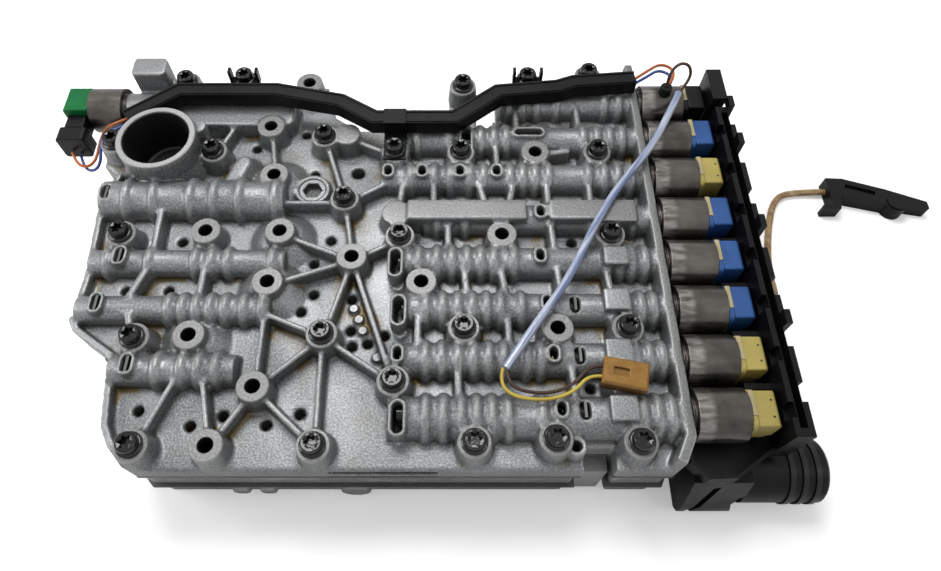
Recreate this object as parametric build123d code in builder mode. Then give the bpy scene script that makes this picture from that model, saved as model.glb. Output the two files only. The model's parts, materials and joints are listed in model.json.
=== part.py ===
"""Hydraulic valve body of an automatic transmission: three cast housings stacked on two
separator plates, with spool valves, pressure solenoids, a wiring duct and a plug socket.

Frame: origin at the middle of the underside, +X towards the row of solenoids,
+Y towards the wiring duct, +Z up through the stack. Millimetres.
"""

import os
from math import pi, radians, tan

from build123d import *

os.makedirs("parts", exist_ok=True)

# Heights of the stack, from the underside up
lower_housing_height = 19.5
plate_thickness = 1.5
channel_height = 17.5
upper_base_height = 11.0
boss_height = 12.0
axis_rise = 3.0

lower_top = lower_housing_height
lower_plate_top = lower_top + plate_thickness
channel_top = lower_plate_top + channel_height
upper_plate_top = channel_top + plate_thickness
floor_z = upper_plate_top + upper_base_height
boss_top = floor_z + boss_height
axis_z = floor_z + axis_rise

# Plan of the castings
front_y = -104.0
right_corner_y = -92.0
right_corner_width = 6.0
back_y = 121.0
right_back_y = 127.0
flange_x = 141.0
left_x = -147.0
left_face_x = -146.0
flange_thickness = 5.0
rim_thickness = 3.2
rim_height = 6.0
notch_x = 101.0
notch_width = 14.0
notch_depth = 10.0

# Valve bores
row_pitch = 26.0
first_row_y = -80.0
spool_diameter = 10.0
running_clearance = 0.04
bore_radius = spool_diameter / 2 + running_clearance
tube_radius = 8.2
bead_rise = 1.9
bead_base = 2.8
bead_crown = 1.2
spool_neck_radius = 3.2
plug_length = 8.0
plug_clearance = 0.02
clip_thickness = 1.2
clip_width = 7.6
clip_drop = 4.5
clip_rise = 9.0
blind_wall = 4.0
right_clip_x = 94.5
back_clip_x = 110.6
spring_length = 20.0
spring_outer_radius = 4.2
spring_inner_radius = 3.2
window_rim = 1.6
window_top_rise = 10.0

# Solenoids
can_diameter = 24.5
can_length = 23.0
left_can_length = 18.5
nose_diameter = 14.0
nose_length = 26.0
nose_clearance = 0.05
nose_end_gap = 0.5
shoulder_length = 1.5
collar_length = 2.5
cap_length = 10.0
cap_width = 16.5
cap_rise = 9.6
cap_drop = 6.5
cap_slope = 4.0
left_cap_length = 14.0
plug_neck_length = 9.0
plug_neck_height = 11.0
plug_body_height = 15.0
plug_body_drop = 1.5
shoulder_diameter = 18.0
land_length = 7.0
land_pitch = 17.0

# Screws and bolt holes
bolt_hole_diameter = 7.0
boss_root_diameter = 17.0
screw_diameter = 6.0
screw_hole_diameter = 6.3
screw_head_diameter = 9.4
screw_flange_diameter = 11.6
screw_flange_height = 1.4
flange_room = 0.6
screw_head_height = 3.8
screw_socket = 5.2
screw_socket_depth = 3.0
screw_length = 55.0
screw_hole_depth = 57.0

# Ribs and small cast features
rib_width = 2.6
rib_height = 9.0
field_rib_height = 10.0
floor_hole_diameter = 5.0
floor_hole_depth = 9.0
pip_diameter = 4.0
pip_height = 2.6
pad_height = 14.0

# Skirts, lug, block and pads of the upper housing
boss_taper = 5.6
skirt_radius = 17.0
skirt_height = 6.0
skirt_taper = 50
block_start_x = -116.0
block_end_x = -50.0
block_y = 93.0
block_width = 22.0
block_corner = 6.0
block_height = 11.0
lug_x = -132.5
lug_y = 115.5
lug_length = 19.0
lug_width = 13.0
lug_height = 22.0
seat_radius = 9.6
front_wall_shift = 3.0
seat_end_x = -114.0
layer_step = 1.6
channel_depth = 8.0
front_opening_depth = 9.0
front_slot = (6.0, 45.0, 48.0, 7.0)
lower_tube_z = 9.0
lower_tube_reach = 4.0
plug_ring_radius = 9.5
plug_ring_height = 5.0
low_ring_radius = 5.2
low_ring_height = 9.0
screw_plug_radius = 7.0
screw_plug_length = 10.0
screw_plug_hex = 9.0
screw_plug_hex_depth = 4.0
screw_plug_sink = 0.8

# Suction port
port_x = -118.0
port_y = 63.4
port_diameter = 41.0
port_bore_diameter = 34.0
elbow_spot = (-78.5, 48.5)
elbow_turn = 72.0
elbow_length = 38.0
elbow_width = 17.0
elbow_height = 9.0
elbow_taper = 28
port_height = 23.0
port_depth = 28.0
stub_x = -98.1
stub_y = 72.9
stub_diameter = 8.4
stub_height = 21.0

# Wiring duct and its clamp
duct_width = 9.0
duct_height = 8.0
duct_wall = 1.4
duct_rise = 1.2
ear_thickness = 2.0
ear_width = 12.0
ear_length = 14.0
ear_clearance = 2.7
ear_tab_reach = 7.5
ear_tab_thickness = 1.6
ear_tab_width = 4.0
tab_height = 9.0
clamp_thickness = 1.2
clamp_width = 12.0
clamp_reach = 6.0
wire_diameter = 1.6

# Solenoid frame and plug socket
frame_floor_thickness = 4.0
frame_front_y = -87.0
frame_back_y = 116.0
frame_tail_y = 121.0
rail_inner_x = 180.5
rail_outer_x = 189.0
rail_height = 26.0
rail_groove_width = 3.4
rail_groove_depth = 12.0
rail_start_y = -94.0
rail_end_y = 90.0
rail_cut_depth = 7.0
outlet_length = 7.0
outlet_width = 10.0
hook_height = 5.0
web_start_x = 168.5
web_width = 3.0
web_height = 14.0
post_x = 179.5
post_front_y = 94.0
post_top = 70.0
socket_y = -95.0
socket_z = 16.5
socket_radius = 15.0
socket_bore_radius = 11.0
socket_start_x = 172.0
socket_end_x = 211.5
socket_depth = 24.0
socket_spigot_radius = 13.0
socket_spigot_length = 20.0
pin_radius = 0.8
pin_length = 10.0
pin_circles = ((5.5, 8), (2.2, 3))
seal_width = 2.4
seal_stand = 0.8
seal_groove_depth = 1.6
seal_positions = (193.5, 199.5, 205.5)
bracket_start_x = 145.0
bracket_front_y = -112.0
bracket_back_y = -80.0
bracket_bottom = 1.0
bevel_reach = 10.0
groove_reach = 5.0
lip_thickness = 1.6
lip_height = 5.0
grommet_height = 4.4
grommet_radius = 3.4

# Cables
sleeve_diameter = 4.0
lead_diameter = 4.0


def row_y(number):
    """Return the Y of a valve row, counted from the front."""
    return first_row_y + number * row_pitch


# Bosses, those that several lists share by name
bolt_pair_left_y = 12.5
bolt_pair_mid_y = -16.5
front_boss_y = -96.0
row_boss_y = 62.8
duct_screw_y = 113.5
left_pair_boss = (-49.5, bolt_pair_left_y)
mid_pair_boss = (-52.0, bolt_pair_mid_y)
duct_boss = (-62.4, 80.7)
port_side_boss = (-56.7, 47.7)
hub_boss = (-12.6, -2.5)
left_tube_boss = (-84.6, -44.6)
front_field_boss = (-51.7, -69.6)
front_boss = (-67.9, front_boss_y)
crown_boss = (-18.6, 32.0)
knee_boss = (-23.5, -44.0)
toe_boss = (10.2, -67.0)
inner_boss = (10.5, 9.5)
front_left_boss = (-99.8, front_boss_y)
front_mid_boss = (-22.5, front_boss_y)
port_rear_boss = (-91.1, 63.3)
duct_side_boss = (-32.2, 73.6)
through_holes = [
    (-86.5, bolt_pair_left_y),
    left_pair_boss,
    mid_pair_boss,
    (21.7, bolt_pair_mid_y),
    duct_boss,
    port_side_boss,
    hub_boss,
    left_tube_boss,
    front_field_boss,
    front_boss,
    (80.9, row_boss_y),
    (61.3, 10.5),
    (85.3, -41.0),
    (-44.5, 113.0),
]

# Bosses that carry the stack screws
screw_spots = [
    (-128.3, 10.8),
    (-109.7, -46.0),
    front_left_boss,
    port_rear_boss,
    (-145.5, 69.4),
    duct_side_boss,
    crown_boss,
    (41.2, row_boss_y),
    (113.9, row_boss_y),
    inner_boss,
    (115.3, 10.5),
    knee_boss,
    (41.9, -41.0),
    (117.7, -41.0),
    toe_boss,
    front_mid_boss,
    (46.0, -94.5),
    (80.8, -93.0),
    (116.8, -94.5),
    (-114.0, duct_screw_y),
    (42.7, 110.5),
    (114.4, 119.0),
]
duct_screw_spots = [(-80.5, duct_screw_y), (79.1, duct_screw_y)]
clamp_screw_spot = (6.1, row_boss_y)

# Outline shared by the castings, clockwise from the front left corner
outline_points = [
    (-104.0, front_y),
    (-112.5, front_y + 9.0),
    (-117.5, -86.0),
    (-122.5, -53.0),
    (-142.0, -40.0),
    (-145.5, -34.0),
    (-144.0, -12.0),
    (left_x, 26.0),
    (left_x, 37.0),
    (-142.5, 54.0),
    (-154.0, 62.0),
    (-154.0, 77.0),
    (left_face_x, 84.0),
    (left_face_x, 124.0),
    (-128.0, 124.0),
    (-124.0, back_y),
    (-36.0, back_y),
    (-30.0, 98.0),
    (-16.0, 88.0),
    (35.0, 88.0),
    (35.0, 118.5),
    (50.5, 118.5),
    (50.5, 88.0),
    (62.0, 88.0),
    (62.0, back_y),
    (90.0, right_back_y),
    (flange_x, right_back_y),
    (flange_x, right_corner_y),
    (flange_x - right_corner_width, front_y),
    (notch_x + notch_width / 2, front_y),
    (notch_x + notch_width / 2, front_y + notch_depth),
    (notch_x - notch_width / 2, front_y + notch_depth),
    (notch_x - notch_width / 2, front_y),
]
with BuildSketch() as casting_outline:
    with BuildLine():
        Polyline(*outline_points, close=True)
    make_face()

# Valve rows: Y, blind end, open end, tube radius, bead positions and windows (X, length, width)
tall_window = (4.8, 14.0)
short_window = (3.6, 6.2)
tall_window_shift = -4.0
clip_window = (4.0, 8.0)
right_rows = {
    0: ([24.7, 32.7, 40.4, 47.2, 54.0, 61.0, 76.0, 119.7, 126.3, 132.3],
        [(12.8, *tall_window), (84.1, *short_window)]),
    1: ([24.2, 31.7, 39.2, 46.2, 53.2, 60.0, 70.4, 76.7, 119.8, 126.0, 132.0],
        [(11.7, *short_window), (82.6, *short_window)]),
    2: ([24.0, 32.0, 39.1, 46.0, 52.7, 59.4, 69.3, 119.3, 125.7, 131.6],
        [(11.3, *tall_window), (81.5, *short_window)]),
    3: ([20.0, 29.0, 36.4, 43.8, 50.5, 57.0, 66.8, 112.0, 118.4, 124.4, 131.0],
        [(8.9, *tall_window), (79.7, *short_window)]),
    4: ([29.0, 43.0, 59.0, 107.0, 120.4, 128.0],
        [(81.4, *short_window)]),
    5: ([14.5, 27.1, 35.5, 46.0, 53.0, 67.0, 73.6, 80.2, 87.2, 108.2, 116.6, 123.8, 130.5],
        [(3.0, *short_window), (20.8, *short_window), (40.7, *short_window), (60.0, *short_window)]),
    6: ([17.6, 34.9, 52.0, 59.2, 66.0, 107.8, 115.4, 122.2, 129.0],
        [(44.1, *tall_window), (78.2, 15.0, 4.0)]),
    7: ([68.0, 76.0, 84.0, 95.0, 122.0, 130.0],
        []),
}
right_tube_starts = {0: 8.0, 1: 8.5, 2: 8.5, 3: 6.0, 4: 22.0, 5: -1.0, 6: 10.0, 7: 63.5}

left_rows = {
    "one": (36.0, -50.0, -141.7, 10.9, [-131.0, -117.0, -98.0, -86.0, -73.0, -54.5], left_x),
    "two": (row_y(3), -46.0, -126.0, 7.2, [-133.1, -112.7, -90.0, -82.0, -74.0, -52.0], -144.8),
    "three": (row_y(2), -50.0, -131.2, 7.2,
              [-98.0, -91.4, -84.9, -78.3, -71.3, -62.4, -53.6], -144.9),
    "four": (-59.0, -62.0, -109.7, 7.6, [-97.5, -86.1, -78.5, -70.5], -121.6),
}

solenoid_y = [row_y(number) for number in range(8)]
left_solenoid_y = 100.0

skirt_spots = [port_side_boss, left_pair_boss, mid_pair_boss, left_tube_boss]
back_rib_boss = (-20.5, 75.3)
plain_boss_spots = [back_rib_boss, (113.0, -67.0), (8.1, 23.6)]
plug_ring_spot = (-37.4, 43.0)
low_ring_spot = (89.6, -95.4)

# Raised pads on the tubes: X, Y, length and width
pads = [
    (44.0, row_y(4), 60.0, 11.6),
    (107.6, row_y(4), 43.6, 11.6),
    (119.6, 19.5, 19.6, 5.0),
    (116.0, row_y(3) - 1.0, 12.0, 10.0),
    (114.0, row_y(2) + 1.0, 12.0, 11.0),
    (112.0, row_y(1) + 1.0, 12.0, 11.0),
    (111.0, row_y(0), 12.0, 12.0),
]

# Passages in the lower castings: X, Y, length and width
passages = [
    (-100.0, 36.0, 60.0, 9.0),
    (-100.0, -2.0, 50.0, 8.0),
    (-95.0, -28.0, 52.0, 8.0),
    (-85.0, -62.0, 26.0, 7.0),
    (42.0, -28.0, 40.0, 8.0),
    (50.0, -54.0, 60.0, 8.0),
    (50.0, -79.0, 60.0, 8.0),
    (40.0, 24.0, 52.0, 8.0),
    (88.0, 2.0, 50.0, 8.0),
    (75.0, 37.0, 76.0, 8.0),
    (75.0, 89.0, 60.0, 8.0),
    (-25.0, -62.0, 30.0, 8.0),
    (-5.0, 52.0, 36.0, 8.0),
    (-100.0, 93.0, 50.0, 8.0),
]

# Openings in the front face: X, Z, length and height
front_openings = [(10.0, 31.0, 26.0, 7.5), (-37.5, 30.0, 30.0, 3.0), (58.0, 34.0, 44.0, 2.6),
                  (113.0, 33.0, 10.0, 6.0)]
lower_tubes = [(-65.6, 4.4), (-52.5, 4.4), (-10.0, 7.2)]

# Middle line of the wiring duct
duct_points = [
    (-138.0, 79.5),
    (-113.0, 99.0),
    (-60.0, 99.0),
    (-24.0, 91.0),
    (-5.0, 79.0),
    (38.0, 79.0),
    (62.0, 98.0),
    (95.0, 101.5),
    (104.0, 105.0),
    (138.0, 108.0),
]
duct_bottom = boss_top + duct_rise
duct_top = duct_bottom + duct_height
clamp_face_y = duct_points[4][1] - duct_width / 2

# Routes of the cables, from one end to the other
grommet_spot = (155.0, 102.0)
grommet_bottom = axis_z + can_diameter / 2
wire_rise = 3.4
wire_gap = 4.8
orange_routes = [
    [(-175.0, 72.8, 50.0), (-171.0, 64.0, 48.0), (-161.5, 65.5, 48.0), (-159.0, 80.0, 54.5),
     (-152.5, 81.2, 61.5), (-144.6, 79.0, 67.2), (-136.2, 81.8, 68.8)],
    [(137.5, 108.6, 69.0), (147.0, 115.5, 69.8), (154.0, 120.2, 70.0), (160.5, 117.3, 70.0),
     (160.8, 110.0, 69.6), (157.0, 105.1, 69.0)],
]
blue_routes = [
    [(-171.5, 72.8, 47.5), (-168.0, 63.2, 45.0), (-158.8, 64.2, 46.5), (-156.8, 76.4, 57.5),
     (-151.0, 78.0, 61.8), (-143.8, 76.9, 65.2), (-135.8, 80.0, 67.0)],
    [(137.5, 107.0, 67.2), (146.5, 112.6, 67.8), (153.0, 117.6, 68.0), (159.4, 114.4, 68.0),
     (159.9, 108.4, 67.6), (156.9, 105.0, 67.2)],
]
brown_routes = [
    [(155.0, 102.0, 70.95), (154.6, 104.0, 78.0), (159.5, 107.5, 83.0), (166.5, 108.2, 80.3),
     (168.0, 105.2, 72.5), (161.9, 99.6, 69.0)],
    [(60.6, -64.0, 67.2), (61.0, -69.6, 67.0), (67.0, -73.6, 66.8), (79.0, -74.6, 66.8),
     (89.5, -70.5, 66.6), (98.1, -60.5, 66.4), (105.37, -62.07, 66.4)],
]
yellow_routes = [
    [(58.9, -62.9, 67.2), (57.0, -69.8, 67.0), (63.4, -76.4, 66.8), (78.6, -77.6, 66.8),
     (89.6, -73.5, 66.6), (97.1, -65.2, 66.4), (104.37, -66.77, 66.4)],
]
sleeve_route = [(161.6, 99.0, 68.8), (156.0, 87.6, 68.8), (140.6, 59.6, 68.6),
                (119.8, 34.5, 67.6), (106.8, 12.3, 67.4), (91.0, -18.8, 67.4),
                (75.5, -40.2, 67.4), (60.0, -63.0, 67.2)]
lead_route = [(188.25, -26.0, 24.0), (204.0, -24.0, 23.8), (214.0, -4.0, 17.0),
              (220.0, 24.0, 5.0), (227.4, 53.0, 2.2),
              (237.0, 78.0, 2.2), (254.0, 81.0, 2.2), (270.4, 80.4, 3.2)]
connector_x = 112.3
connector_y = -66.0
connector_turn = -12.0
connector_length = 20.0
connector_width = 13.0
connector_height = 7.0
sensor_height = 9.0
sensor_disc_radius = 6.7
sensor_disc_spot = (306.5, 68.5)
sensor_start_x = 268.0


def tube_profile(start, end, radius, beads):
    """Half section of a valve tube: a plain wall with raised beads, closed on the axis."""
    plain = axis_z + radius
    crown = plain + bead_rise
    points = [(start, axis_z), (start, plain)]
    for bead in sorted(beads):
        points.append((bead - bead_base, plain))
        points.append((bead - bead_crown, crown))
        points.append((bead + bead_crown, crown))
        points.append((bead + bead_base, plain))
    points.append((end, plain))
    points.append((end, axis_z))
    return points


def socket_profile():
    """Half section of the plug socket: spigot, grooved barrel and open mouth."""
    outer = socket_z + socket_radius
    groove = outer - seal_groove_depth
    spigot_start_x = socket_start_x - socket_spigot_length
    points = [(spigot_start_x, socket_z), (spigot_start_x, socket_z + socket_spigot_radius),
              (socket_start_x, socket_z + socket_spigot_radius), (socket_start_x, outer)]
    for x in seal_positions:
        points.append((x - seal_width / 2, outer))
        points.append((x - seal_width / 2, groove))
        points.append((x + seal_width / 2, groove))
        points.append((x + seal_width / 2, outer))
    points.append((socket_end_x - 1.5, outer))
    points.append((socket_end_x, outer - 1.5))
    points.append((socket_end_x, socket_z + socket_bore_radius))
    points.append((socket_end_x - socket_depth, socket_z + socket_bore_radius))
    points.append((socket_end_x - socket_depth, socket_z))
    return points


def rib_lines():
    """Start and end of each tall rib between bosses."""
    tube_end = (-52.0, -32.0)
    return [
        (hub_boss, crown_boss),
        (hub_boss, left_pair_boss),
        (hub_boss, mid_pair_boss),
        (hub_boss, knee_boss),
        (hub_boss, toe_boss),
        (hub_boss, inner_boss),
        (crown_boss, (-56.0, 32.0)),
        (crown_boss, duct_side_boss),
        (crown_boss, (6.0, 47.0)),
        (knee_boss, tube_end),
        (knee_boss, front_field_boss),
        (knee_boss, front_mid_boss),
        (knee_boss, toe_boss),
        (front_field_boss, tube_end),
        (front_field_boss, front_boss),
        (front_field_boss, front_mid_boss),
        (front_boss, (-76.0, -64.0)),
        (front_left_boss, (-88.0, -64.0)),
        (back_rib_boss, clamp_screw_spot),
        (duct_boss, port_side_boss),
        (port_rear_boss, (-80.0, 92.0)),
    ]


def field_rib_lines():
    """Start and end of each short rib that ties a valve tube to the next."""
    cross_rib_bend = (89.0, -28.0)
    return [
        ((-112.5, 30.0), (-111.5, 2.0)),
        ((-112.0, -6.0), (-118.0, -24.0)),
        ((-84.5, -6.0), (-84.5, -24.0)),
        ((-116.5, -32.0), (-112.0, -44.0)),
        ((11.0, 46.0), (9.0, 26.0)),
        ((27.0, 46.0), (27.0, 27.0)),
        ((50.0, 46.0), (54.5, 27.0)),
        ((69.0, 46.0), (65.0, 27.0)),
        ((86.0, 46.0), (86.0, 27.0)),
        ((108.0, 46.0), (108.0, 27.0)),
        ((60.0, 72.0), (60.5, 52.0)),
        ((34.5, 20.0), (34.5, 0.0)),
        ((42.0, -6.0), (44.0, -24.0)),
        ((60.0, -6.0), (62.5, -24.0)),
        ((20.5, -32.0), (20.5, -50.0)),
        ((62.5, -32.0), (63.0, -50.0)),
        ((39.0, -60.0), (39.5, -76.0)),
        ((86.0, 24.0), cross_rib_bend),
        (cross_rib_bend, (91.5, -80.0)),
        ((111.0, -4.0), (113.0, -24.0)),
        ((111.0, -30.0), (113.0, -50.0)),
        ((100.0, 66.0), (82.0, row_boss_y)),
        ((72.0, 100.0), (72.0, 78.0)),
        ((106.0, 100.0), (106.0, 78.0)),
    ]


floor_holes = [
    (-72.0, 74.5),
    (-71.5, 58.0),
    (-45.5, 84.5),
    (-37.9, 56.5),
    (-102.0, 13.0),
    (-124.6, -15.5),
    (-103.5, -15.5),
    (-105.1, -77.0),
    (-80.5, -84.0),
    (-66.5, -79.5),
    (-46.5, -83.5),
    (-31.7, -17.5),
    (-37.0, -27.0),
    (-12.6, -20.3),
    (-12.0, -37.2),
    (-11.0, -45.5),
    (-3.5, -44.0),
    (-33.1, 0.0),
    (-25.7, 14.0),
    (-32.0, -78.5),
    (4.0, -40.0),
    (98.0, 12.6),
    (100.0, -66.5),
]
large_floor_holes = [(-14.5, 57.5)]
pips = [(-11.0, -26.5), (-8.2, -32.2), (-6.0, -38.2), (1.5, -52.0)]


def right_bore_start(number):
    """Return the X of the blind end of a bore on the solenoid side."""
    return right_tube_starts[number] + blind_wall


def window_y(number, width):
    """Return the Y of a window's middle: a tall window reaches down the front of its tube."""
    return row_y(number) + (tall_window_shift if width == tall_window[1] else 0.0)


def right_clip(number):
    """Return the X of the clip that holds the plug of a bore on the solenoid side."""
    return back_clip_x if number == 7 else right_clip_x


# Valve tubes, each a revolved wall with raised beads
with BuildPart() as valve_tubes:
    for number, (beads, windows) in right_rows.items():
        with BuildSketch(Plane.XZ.offset(-row_y(number))):
            with BuildLine():
                Polyline(*tube_profile(right_tube_starts[number], flange_x - 2.0, tube_radius,
                                       beads), close=True)
            make_face()
        revolve(axis=Axis((0, row_y(number), axis_z), (1, 0, 0)))
    with BuildSketch(Plane.XZ.offset(front_wall_shift - row_y(0))):
        with BuildLine():
            Polyline(*tube_profile(right_tube_starts[0], flange_x - 2.0, tube_radius,
                                   right_rows[0][0]), close=True)
        make_face()
    revolve(axis=Axis((0, row_y(0) - front_wall_shift, axis_z), (1, 0, 0)))
    with BuildSketch(Plane.YZ.offset(left_face_x)):
        with Locations((left_solenoid_y, axis_z)):
            Circle(seat_radius)
    extrude(amount=seat_end_x - left_face_x)
    for y, blind, clip_x, radius, beads, mouth in left_rows.values():
        with BuildSketch(Plane.XZ.offset(-y)):
            with BuildLine():
                Polyline(*tube_profile(mouth + 2.0, blind, radius, beads), close=True)
            make_face()
        revolve(axis=Axis((0, y, axis_z), (1, 0, 0)))


# Everything else that stands on the floor of the upper housing
with BuildPart() as standing_features:
    # Rim along the left side, flange along the solenoid side and block behind the port
    with BuildSketch(Plane.XY.offset(floor_z)):
        with BuildLine():
            Polyline(*outline_points[:10])
        trace(line_width=2 * rim_thickness)
        add(casting_outline.sketch, mode=Mode.INTERSECT)
    extrude(amount=rim_height)
    with BuildSketch(Plane.XY.offset(floor_z)):
        with BuildLine():
            Polyline((flange_x, right_back_y), (flange_x, right_corner_y),
                     (flange_x - right_corner_width, front_y))
        trace(line_width=2 * flange_thickness)
        add(casting_outline.sketch, mode=Mode.INTERSECT)
    extrude(amount=boss_height)
    with BuildSketch(Plane.XY.offset(floor_z)):
        with Locations(((block_start_x + block_end_x) / 2, block_y)):
            RectangleRounded(block_end_x - block_start_x, block_width, block_corner)
    extrude(amount=block_height, taper=3)
    with BuildSketch(Plane.XY.offset(floor_z)):
        with Locations((lug_x, lug_y)):
            RectangleRounded(lug_length, lug_width, 3.0)
    extrude(amount=lug_height)

    # Machined pads and seats on the tubes
    with BuildSketch(Plane.XY.offset(floor_z)):
        for x, y, length, width in pads:
            with Locations((x, y)):
                Rectangle(length, width)
    extrude(amount=pad_height)

    # Ribs
    with BuildSketch(Plane.XY.offset(floor_z)):
        for start, end in rib_lines():
            with BuildLine():
                Line(start, end)
            trace(line_width=rib_width)
    extrude(amount=rib_height)
    with BuildSketch(Plane.XY.offset(floor_z)):
        for start, end in field_rib_lines():
            with BuildLine():
                Line(start, end)
            trace(line_width=rib_width + 0.8)
    extrude(amount=field_rib_height)

    # Bosses, their skirts and the raised rims of the windows
    with BuildSketch(Plane.XY.offset(floor_z)):
        with Locations(*skirt_spots):
            Circle(skirt_radius)
    extrude(amount=skirt_height, taper=skirt_taper)
    with BuildSketch(Plane.XY.offset(floor_z)):
        with Locations(*through_holes, *screw_spots, *duct_screw_spots, clamp_screw_spot,
                       *plain_boss_spots):
            Circle(boss_root_diameter / 2)
    extrude(amount=boss_height, taper=boss_taper)
    with BuildSketch(Plane.XY.offset(floor_z)):
        with Locations(*pips):
            Circle(pip_diameter / 2)
    extrude(amount=pip_height)
    with BuildSketch(Plane.XY.offset(axis_z)):
        for number, (beads, windows) in right_rows.items():
            for x, length, width in windows:
                with Locations((x, window_y(number, width))):
                    RectangleRounded(length + 2 * window_rim, width + 2 * window_rim,
                                     min(length, width) / 2 + window_rim - 0.2)
        for y, blind, clip_x, radius, beads, mouth in left_rows.values():
            with Locations((clip_x, y)):
                RectangleRounded(clip_window[0] + 2 * window_rim, clip_window[1] + 2 * window_rim,
                                 clip_window[0] / 2 + window_rim - 0.2)
    extrude(amount=window_top_rise)

    # Elbow that leads from the widest left tube towards the port
    with BuildSketch(Plane.XY.offset(floor_z)):
        with Locations(Location(elbow_spot, elbow_turn)):
            SlotOverall(elbow_length, elbow_width)
    extrude(amount=elbow_height, taper=elbow_taper)

    # Suction port with its thicker foot, the small stub and the ring of the screw plug
    with BuildSketch(Plane.XY.offset(floor_z)):
        with Locations((port_x, port_y)):
            Circle(port_diameter / 2)
    extrude(amount=port_height)
    with BuildSketch(Plane.XY.offset(floor_z)):
        with Locations((port_x, port_y)):
            Circle(port_diameter / 2 + 3.5)
    extrude(amount=port_height / 2, taper=17)
    with BuildSketch(Plane.XY.offset(floor_z)):
        with Locations((stub_x, stub_y)):
            Circle(stub_diameter / 2)
    extrude(amount=stub_height)
    with BuildSketch(Plane.XY.offset(floor_z)):
        with Locations(plug_ring_spot):
            Circle(plug_ring_radius)
    extrude(amount=plug_ring_height)
    with BuildSketch(Plane.XY.offset(floor_z)):
        with Locations(low_ring_spot):
            Circle(low_ring_radius)
    extrude(amount=low_ring_height, taper=3)


# Bores, windows and holes of the upper housing
with BuildPart() as drillings:
    # Bores of the valves and of the solenoids
    for number in right_rows:
        start = right_bore_start(number)
        with BuildSketch(Plane.YZ.offset(start)):
            with Locations((row_y(number), axis_z)):
                Circle(bore_radius)
        extrude(amount=flange_x - nose_length - start)
    with BuildSketch(Plane.YZ.offset(flange_x - nose_length)):
        with Locations(*[(row_y(number), axis_z) for number in right_rows]):
            Circle(nose_diameter / 2 + nose_clearance)
    extrude(amount=nose_length + 1.0)
    with BuildSketch(Plane.YZ.offset(left_face_x + nose_length)):
        with Locations((left_solenoid_y, axis_z)):
            Circle(nose_diameter / 2 + nose_clearance)
    extrude(amount=-nose_length - 1.0)
    for y, blind, clip_x, radius, beads, mouth in left_rows.values():
        with BuildSketch(Plane.YZ.offset(blind - blind_wall)):
            with Locations((y, axis_z)):
                Circle(bore_radius)
        extrude(amount=mouth - 6.0 - blind)

    # Windows into the bores
    with BuildSketch(Plane.XY.offset(axis_z - clip_drop)):
        for number, (beads, windows) in right_rows.items():
            for x, length, width in windows:
                with Locations((x, window_y(number, width))):
                    RectangleRounded(length, width, min(length, width) / 2 - 0.1)
        for number in range(3):
            with Locations((right_clip_x, row_y(number))):
                Rectangle(clip_window[0], clip_window[1])
        for y, blind, clip_x, radius, beads, mouth in left_rows.values():
            with Locations((clip_x, y)):
                Rectangle(clip_window[0], clip_window[1])
    extrude(amount=25)

    # Holes
    with BuildSketch(Plane.XY.offset(floor_z + low_ring_height)):
        with Locations(low_ring_spot):
            Circle(floor_hole_diameter / 2)
    extrude(amount=-low_ring_height - floor_hole_depth)
    with BuildSketch(Plane.XY.offset(upper_plate_top - 1.0)):
        with Locations(*through_holes):
            Circle(bolt_hole_diameter / 2)
        with Locations(*screw_spots, *duct_screw_spots, clamp_screw_spot):
            Circle(screw_hole_diameter / 2)
    extrude(amount=upper_base_height + boss_height + 20)
    # Room for the screw heads and for the ears of the duct
    with BuildSketch(Plane.XY.offset(boss_top)):
        with Locations(*screw_spots, clamp_screw_spot):
            Circle(screw_flange_diameter / 2 + flange_room)
        for x, y in duct_screw_spots:
            with Locations((x, y - ear_length / 2)):
                Rectangle(ear_width + 2 * ear_clearance, ear_length + 13.0)
    extrude(amount=8.0)
    with BuildSketch(Plane.XY.offset(floor_z)):
        with Locations(*floor_holes):
            Circle(floor_hole_diameter / 2)
        with Locations(*large_floor_holes):
            Circle(0.7 * floor_hole_diameter)
    extrude(amount=-floor_hole_depth)
    with BuildSketch(Plane.XY.offset(floor_z + plug_ring_height)):
        with Locations(plug_ring_spot):
            Circle(screw_plug_radius + plug_clearance)
    extrude(amount=-screw_plug_length)
    with BuildSketch(Plane.XZ.offset(-front_y)):
        with Locations(front_slot[:2]):
            Rectangle(*front_slot[2:])
    extrude(amount=-front_opening_depth)
    with BuildSketch(Plane.XY.offset(floor_z + port_height)):
        with Locations((port_x, port_y)):
            Circle(port_bore_diameter / 2)
    extrude(amount=-port_depth)

with BuildPart() as upper_valve_housing:
    with BuildSketch(Plane.XY.offset(upper_plate_top)):
        add(casting_outline.sketch)
    extrude(amount=upper_base_height)
    add([valve_tubes.part, standing_features.part])
    add(drillings.part, mode=Mode.SUBTRACT)
upper_valve_housing.part.label = "upper_valve_housing"

# Separator plates, with the holes that let oil pass between the housings
plates = {}
for name, height in (("upper_separator_plate", channel_top), ("lower_separator_plate", lower_top)):
    with BuildPart() as plate:
        with BuildSketch(Plane.XY.offset(height)):
            add(casting_outline.sketch)
            with Locations(*through_holes):
                Circle(bolt_hole_diameter / 2, mode=Mode.SUBTRACT)
            with Locations(*screw_spots, *duct_screw_spots, clamp_screw_spot):
                Circle(screw_hole_diameter / 2, mode=Mode.SUBTRACT)
            with Locations(*floor_holes):
                Circle(floor_hole_diameter / 2 - 1.0, mode=Mode.SUBTRACT)
        extrude(amount=plate_thickness)
    plate.part.label = name
    plates[name] = plate

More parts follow.
